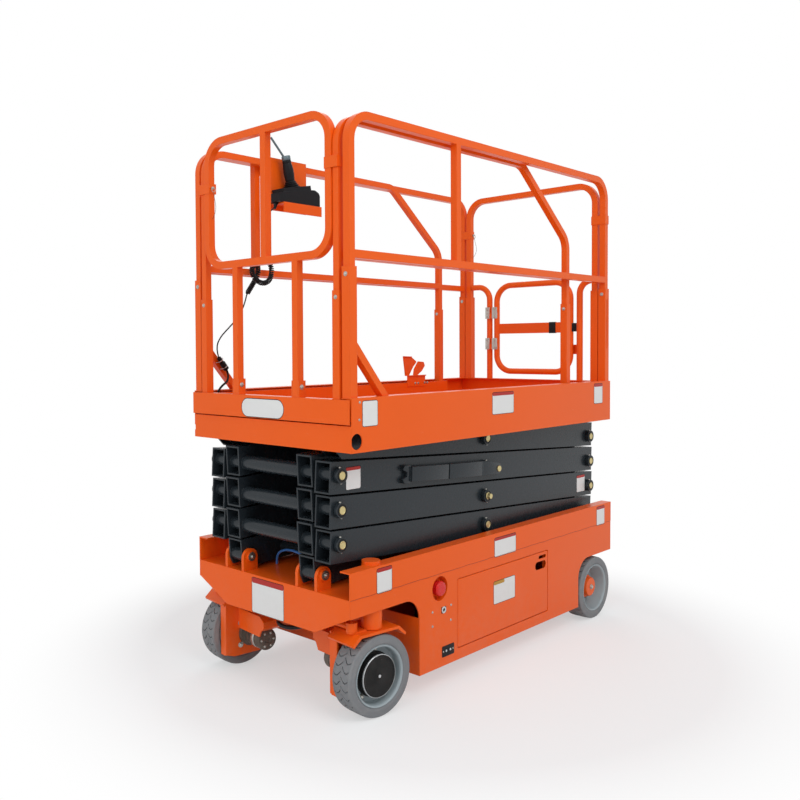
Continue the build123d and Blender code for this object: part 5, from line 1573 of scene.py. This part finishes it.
@dataclass
class ScissorTrim:
    """Pin ends and grease screws of the scissor, its stored prop, and the lift cylinder's gland and rod end."""

    trim: Trim
    front_x: float = 876.0
    rear_x: float = -866.0
    low_z: float = 490.0
    pitch: float = 119.5
    stages: int = 4
    collar_end: float = 344.0
    beam_face: float = 326.0
    long_stub: float = 14.0
    rod: float = 27.0
    cylinder_foot: Point = (685.9, 0.0, 495.0)
    cylinder_aim: Point = (-0.979946, 0.0, 0.199266)
    cap: Outline = ((0.0, -1.0), (14.5, -1.0), (14.5, 1.6), (13.0, 2.6), (12.0, 2.6), (10.5, 1.4), (0.0, 1.4))
    groove: Outline = ((17.5, -1.0), (22.0, -1.0), (22.0, 1.2), (20.8, 2.0), (18.5, 2.0), (17.5, 1.2))
    prop_front: Outline = ((918, -33), (1144, -37), (1144, 21), (918, 26))
    prop_rear: Outline = ((1151, -37), (1376, -37), (1376, 19), (1151, 21))
    prop_joint: Outline = ((1140, -33), (1156, -33), (1156, 16), (1140, 16))
    prop_fork: Outline = (
        (1376, -44), (1408, -44), (1420, -28), (1394, -18), (1394, -2), (1420, 8), (1408, 24), (1376, 24)
    )
    prop_web: Outline = ((924, -33), (924, 26), (862, 24), (800, 16), (786, 2), (786, -18), (800, -30))
    prop_pin: Outline = ((0.0, 0.0), (13.0, 0.0), (13.0, 29.5), (11.5, 31.0), (0.0, 31.0))

    def build(self) -> None:
        """Dress the pins of all links, the prop and the lift cylinder."""
        middle = (self.front_x + self.rear_x) / 2
        for stage in range(1, self.stages + 1):
            body = f"inner_{stage}"
            base = self.low_z + (stage - 1) * self.pitch
            for side in Side:
                self.pin(body, middle, base + self.pitch / 2, side, stub=self.long_stub if stage == 2 else 0.0)
                if stage > 1:
                    self.pin(body, self.front_x, base, side)
                if stage < self.stages:
                    self.pin(body, self.rear_x, base + self.pitch, side)
        self.prop()
        self.cylinder()

    def pin(self, body: str, x: float, z: float, side: Side, stub: float = 0.0) -> None:
        """Dress one collared pin.

        Args:
            body: Link that carries the pin.
            x: Place of the pin.
            z: Height of the pin.
            side: Side of the machine.
            stub: How far a thinner end sticks out.
        """
        thin, screw_depth, screw_height, screw_lean = 12, 8, 26.5, 3
        cap = [(r, s + (stub if r < thin and s > 0 else 0.0)) for r, s in self.cap]
        where = side.outward(x, self.collar_end, z)
        self.trim.turned(body, BRASS, cap, 28, where)
        self.trim.turned(body, HUB, self.groove, 28, where)
        for lean in (-1, 1):
            y = side.value * (self.collar_end - screw_depth)
            spot = (x + screw_lean * lean, y, z + lean * screw_height)
            self.trim.bolt(body, spot, (0.1 * lean, 0.0, float(lean)), size=3.8)

    def cylinder(self) -> None:
        """Gland at the lift cylinder's mouth, and the rod's inner end that it still holds at full lift."""
        rod = self.rod
        place = aimed(self.cylinder_foot, self.cylinder_aim)
        gland = [
            (rod + 0.6, 1158.0), (43.0, 1158.0), (43.0, 1170.0), (40.0, 1172.0),
            (40.0, 1180.0), (36.0, 1184.0), (rod + 2.4, 1184.0), (rod + 0.6, 1182.0),
        ]
        self.trim.turned("lift_barrel", MOTOR, gland, 40, place)
        tail = [(0.0, 24.0), (rod - 2.0, 24.0), (rod, 26.0), (rod, 92.0), (0.0, 92.0)]
        self.trim.turned("lift_rod", CHROME, tail, 40, place)

    def prop(self) -> None:
        """Maintenance prop: its two halves, fork, web and hinge pin, on the third outer beam."""
        face = self.beam_face
        slope = math.atan2(self.pitch, self.front_x - self.rear_x)
        lay = Matrix.Translation((self.rear_x, 0, self.low_z + 2 * self.pitch)) @ Matrix.Rotation(-slope, 4, "Y")
        for side in Side:
            bar = Shape()
            for outline, near, far, bevel in (
                (self.prop_front, 0.0, 26.0, 1.5),
                (self.prop_rear, 0.0, 26.0, 1.5),
                (self.prop_joint, 0.0, 15.0, 1.0),
                (self.prop_fork, 0.0, 17.0, 1.2),
                (self.prop_web, 23.0, 26.5, 0.8),
            ):
                bar.prism(outline, "y", side.span(face + near, face + far), bevel)
            self.trim.lot("outer_3", GREY).add(bar.place(lay))
            spot = lay @ Vector((805.0, side.value * face, -8.0))
            self.trim.turned("outer_3", BRASS, self.prop_pin, 24, aimed(spot, (0, side.value, 0)))


@dataclass
class ChassisTrim:
    """Screws, socket plates, key switches, stop buttons' heads, ear pins' ends and the chassis's crease ridges, whose
    darker orange is painted shade.
    """

    trim: Trim
    face: float = 414.5
    cover_screws: Outline = ((470, 302), (356, 306), (470, 248.5), (358, 249))
    socket_plate: Outline = ((338, 117), (413, 158))
    socket_screws: Sequence[float] = (346, 406)
    sockets: Sequence[float] = (363.0, 388.0)
    socket_z: float = 138
    socket: Outline = ((0.0, 0.0), (4.6, 0.0), (4.6, 2.8), (0.0, 2.8))
    key_plate: Outline = ((388, 285), (416, 309))
    key_at: tuple[float, float] = (402, 297)
    key_ring: Outline = ((6.5, 0.0), (13.0, 0.0), (13.0, 2.4), (11.5, 3.4), (8.0, 3.4), (6.5, 2.2))
    stop_at: tuple[float, float] = (424.0, 382.0)
    stop_head: Outline = (
        (0.0, -3.0), (24.0, -3.0), (27.5, 0.5), (28.0, 5.0), (25.5, 9.0), (18.0, 11.0), (8.0, 10.0), (0.0, 9.6)
    )
    ear_at: tuple[float, float] = (876.0, 490.0)
    ear_faces: Sequence[tuple[float, int]] = ((260.0, 1), (136.0, -1))
    ear_cap: Outline = ((0.0, 0.0), (17.0, 0.0), (17.0, 2.5), (14.0, 4.5), (11.0, 4.5), (10.0, 3.0), (0.0, 3.0))
    seam_from: float = -922.0
    seam_step: float = 18.0
    seam_points: int = 103
    seam_z: float = 438.0

    def build(self) -> None:
        """Place everything on both sides."""
        for side in Side:
            self.sockets_and_key(side)
            self.stop(side)
            self.ears(side)
            self.seam(side)

    def sockets_and_key(self, side: Side) -> None:
        """Screws of the cover, the plate with its two sockets, and the key switch.

        Args:
            side: Side of the machine.
        """
        y = side.value * self.face
        out = (0.0, float(side.value), 0.0)
        for x, z in self.cover_screws:
            self.trim.bolt("chassis", (x, y, z), out, size=3.2)
        span = side.span(self.face - 6.0, self.face + 1.6)
        self.trim.lot("chassis", PLASTIC).prism(rounded(*self.socket_plate, 4), "y", span, bevel=0.7)
        for x in self.socket_screws:
            self.trim.bolt("chassis", (x, side.value * (self.face + 1.4), self.socket_z), out, size=2.4)
        for x in self.sockets:
            self.trim.turned("chassis", PLATE_STEEL, self.socket, 16, side.outward(x, self.face, self.socket_z))
        span = side.span(self.face, self.face + 1.5)
        self.trim.lot("chassis", HUB).prism(rounded(*self.key_plate, 3), "y", span, bevel=0.5)
        x, z = self.key_at
        self.trim.turned("chassis", PLATE_STEEL, self.key_ring, 24, side.outward(x, self.face, z))

    def seam(self, side: Side) -> None:
        """Uneven ridge along the fold between the side panel and the rail above it, in a darker orange that is painted
        shade of the crease.

        Args:
            side: Side of the machine.
        """
        line = []
        for i in range(self.seam_points):
            x = self.seam_from + self.seam_step * i
            wander = 0.7 * math.sin(0.31 * x) + 0.5 * math.sin(0.083 * x)
            line.append((x, side.value * (self.face + 0.1), self.seam_z + wander))
        # The darker orange of this ridge is painted shade of the crease.
        self.trim.lot("chassis", CREASE_SHADE).tube(line, radius=1.5, sides=6)

    def stop(self, side: Side) -> None:
        """Domed head on the emergency stop button."""
        x, z = self.stop_at
        self.trim.turned("chassis", RED, self.stop_head, 48, side.outward(x, self.face - 1.5, z))

    def ears(self, side: Side) -> None:
        """Caps and bolt heads on the pins of the side's two ears.

        Args:
            side: Side of the machine.
        """
        x, z = self.ear_at
        for distance, way in self.ear_faces:
            out = way * side.value
            place = Vector((x, side.value * distance, z))
            self.trim.turned("chassis", MOTOR, self.ear_cap, 28, aimed(place, (0, out, 0)))
            self.trim.bolt("chassis", place + Vector((0, out * 3.0, 0)), (0.0, float(out), 0.0), size=6.5)


@dataclass
class PlatformTrim:
    """Bolts of the guard rail sockets and the pedal, gate hinges and latch, locking pins, cable ties, floor tread."""

    trim: Trim
    main_y: float = 404.0
    posts: tuple[float, float] = (899.0, -871.0)
    sleeve_bolt_z: float = 1530.0
    corner_y: float = 430.0
    corner_bolts: Outline = ((879, 1103), (881, 1044.5))
    extension_y: float = 361.0
    extension_posts: tuple[float, float] = (905.0, -590.0)
    extension_bolt_z: float = 1455.0
    front_posts: Sequence[Point] = ((910.0, -164.0, 1148.0), (910.0, 164.0, 1148.0))
    pedal_y: float = -338.0
    pedal_bolts: Outline = ((-391, 1105), (-368, 1105), (-464, 1106), (-441, 1106))
    hinges_z: tuple[float, float] = (1462.0, 1300.0)
    leaves: Sequence[tuple[str, float, float]] = (("platform", -253.0, -228.5), ("gate", -212.0, -181.0))
    leaf_x: tuple[float, float] = (-855.0, -851.4)
    pins: Sequence[tuple[str, Point]] = (
        ("extension", (912.0, -315.0, 1908.0)), ("platform", (-871.0, -348.0, 1882.0))
    )
    pin_ring: float = 8.0
    wire_fall: float = 105.0
    ties_at: Outline = ((829.0, 1238.0), (808.0, 1212.0))
    stud: Outline = ((-15, 0), (-9, -2.6), (0, -3.4), (9, -2.6), (15, 0), (9, 2.6), (0, 3.4), (-9, 2.6))

    def build(self) -> None:
        """Place everything."""
        for side in Side:
            for x in self.posts:
                middle = (x, side.value * self.main_y, self.sleeve_bolt_z)
                self.trim.bolt_pair("platform", middle, (-18.0, 0, 0), size=5.5)
            for x, z in self.corner_bolts:
                self.trim.bolt("platform", (x, side.value * self.corner_y, z), (0.0, float(side.value), 0.0), size=3.2)
            for x in self.extension_posts:
                middle = (x, side.value * self.extension_y, self.extension_bolt_z)
                self.trim.bolt_pair("extension", middle, (-16.0, 0, 0), size=5.0)
        for middle in self.front_posts:
            self.trim.bolt_pair("extension", middle, (0, 19.0, 0), size=6.0)
        for x, z in self.pedal_bolts:
            self.trim.bolt("extension", (x, self.pedal_y, z), (0.0, 1.0, 0.0), size=4.0)
        self.gate()
        self.lanyard()
        self.ties()
        self.tread()

    def gate(self) -> None:
        """Zinc hinge leaves, and the black ends of the gate's bar and of its latch."""
        back, front = self.leaf_x
        for z in self.hinges_z:
            for body, low, high in self.leaves:
                self.trim.lot(body, ZINC).box((back, low, z - 30), (front, high, z + 30), bevel=0.6)
                for dz in (-18.0, 18.0):
                    self.trim.bolt(body, (front, (low + high) / 2, z + dz), (1.0, 0.0, 0.0), size=3.6)
        self.trim.lot("gate", PLASTIC).box((-877.5, 116, 1350), (-864.5, 152, 1406), bevel=1.5)
        self.trim.lot("platform", PLASTIC).box((-880.0, 240, 1356), (-862.0, 262, 1398), bevel=2.0)

    def lanyard(self) -> None:
        """Locking pins with their rings in the right hand collars, each hanging on a wire."""
        for body, (x, y, z) in self.pins:
            pin = self.trim.lot(body, ZINC)
            pin.tube([(x, y - 8.0, z), (x, y + 15.0, z)], radius=3.4)
            pin.tube([(x, y + 6.0, z), (x, y + 9.0, z)], radius=6.0)
            turns = [math.tau * i / 20 for i in range(20)]
            size = self.pin_ring
            ring = [(x + size * math.cos(a), y + 13.0, z - size + size * math.sin(a)) for a in turns]
            pin.tube(ring, radius=1.2, sides=8, closed=True)
            hang = []
            for t in (i / 8 for i in range(9)):
                slack = 18 * math.sin(math.pi * t ** 1.2) - 9.0 * t
                hang.append((x, y + 13.0 + slack, z - 15.0 - self.wire_fall * t ** 0.8))
            self.trim.lot(body, MOTOR).tube(hang, radius=0.9, sides=6)

    def ties(self) -> None:
        """White cable ties round the socket and the sloping brace."""
        steps, brace_y, reach, half = 28, -390.0, 27.0, 15.0
        lean_x, lean_z = 0.76, 0.65
        for x, z in self.ties_at:
            loop = []
            for i in range(steps):
                turn = math.tau * i / steps
                across = half * math.sin(turn)
                loop.append((x + lean_x * across, brace_y + reach * math.cos(turn), z - lean_z * across))
            self.trim.lot("platform", PLATE).tube(loop, radius=1.3, sides=6, closed=True)

    def tread(self) -> None:
        """Raised studs on the floors."""
        foot = [(x, y, -0.4) for x, y in self.stud]
        top = [(0.8 * x, 0.7 * y, 1.4) for x, y in self.stud]
        mesh = Shape().rings([foot, top]).mesh("stud")
        for body, centre, size, counts in (
            ("extension", (118.0, 0.0, 1032.0), (1480.0, 636.0), (41, 18)),
            ("platform", (-768.0, 0.0, 1024.0), (196.0, 700.0), (6, 20)),
        ):
            made = TREAD.run(
                mesh.copy(), Length=size[0] * MM, Width=size[1] * MM, Columns=counts[0], Rows=counts[1],
                Material=ORANGE.material(),
            )
            made.transform(Matrix.Translation(Vector(centre) * MM))
            seat(made, f"tread_{body}", body, ORANGE)


@dataclass
class ControlTrim:
    """Joystick's bellows, grip and collar, and the cable gland of the control box."""

    trim: Trim
    stick: Point = (500.0, -300.0, 1956.0)
    lean: float = 14.0
    gland_at: Point = (590.0, -300.0, 1888.0)
    gland_lean: float = -12.0
    bellows: Outline = (
        (0.0, 1.0), (36.5, 1.0), (37.5, 4.0), (29.5, 8.0), (33.0, 11.5), (25.5, 15.5), (29.0, 19.0),
        (21.5, 22.5), (24.5, 26.5), (20.0, 31.0), (0.0, 31.0),
    )
    collar: Outline = ((15.6, 118.0), (18.2, 118.0), (18.8, 121.0), (18.8, 133.0), (17.0, 136.0), (15.6, 136.0))
    grip: Outline = (
        (0.0, 31.0), (18.8, 31.0), (19.8, 33.0), (19.9, 40.0), (21.6, 56.0), (22.2, 70.0), (21.4, 84.0),
        (19.4, 98.0), (18.4, 103.0), (17.6, 104.5), (18.6, 106.0), (18.8, 115.0), (17.6, 117.5), (0.0, 117.5),
    )
    gland: Outline = ((0.0, 0.0), (10.5, 0.0), (10.5, -7.0), (8.5, -8.5), (7.5, -14.0), (4.6, -28.0), (0.0, -28.0))

    def build(self) -> None:
        """Place everything."""
        stick = self.leaning(self.stick, self.lean)
        for finish, profile, steps, place in (
            (CABLE, self.bellows, 36, stick),
            (STEEL_BLUE, self.collar, 32, stick),
            (PLASTIC, self.grip, 32, stick),
            (CABLE, self.gland, 24, self.leaning(self.gland_at, self.gland_lean)),
        ):
            self.trim.turned("platform", finish, profile, steps, place)

    def leaning(self, place: Point, degrees: float) -> Matrix:
        """Matrix of a place with its +Z leaning forward."""
        return Matrix.Translation(place) @ Matrix.Rotation(math.radians(degrees), 4, "Y")


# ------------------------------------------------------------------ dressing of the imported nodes
def paint_nodes() -> None:
    """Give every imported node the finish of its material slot, or its own."""
    slots = {row["node"]: row["material_slot"] for row in frame["record"]["subparts"]}
    special = {"tie_rod": ORANGE, "handle_rod": STEEL_BLUE}
    for name, node in frame["nodes"].items():
        finish = special.get(name, SLOT_FINISH[slots[name]])
        node.data.materials.clear()
        node.data.materials.append(finish.material())
    log.info("painted %d nodes", len(slots))


def main() -> None:
    """Build everything in order."""
    bpy.context.scene.view_settings.view_transform = "Standard"
    Studio().build()
    paint_nodes()
    Cords().build()
    Wheels().build()
    SteeringGear().build()
    trim = Trim()
    for dressing in (Signs, ScissorTrim, ChassisTrim, PlatformTrim, ControlTrim):
        dressing(trim).build()
    trim.build()


if __name__ == "__main__":
    logging.basicConfig(level=logging.INFO)
    main()
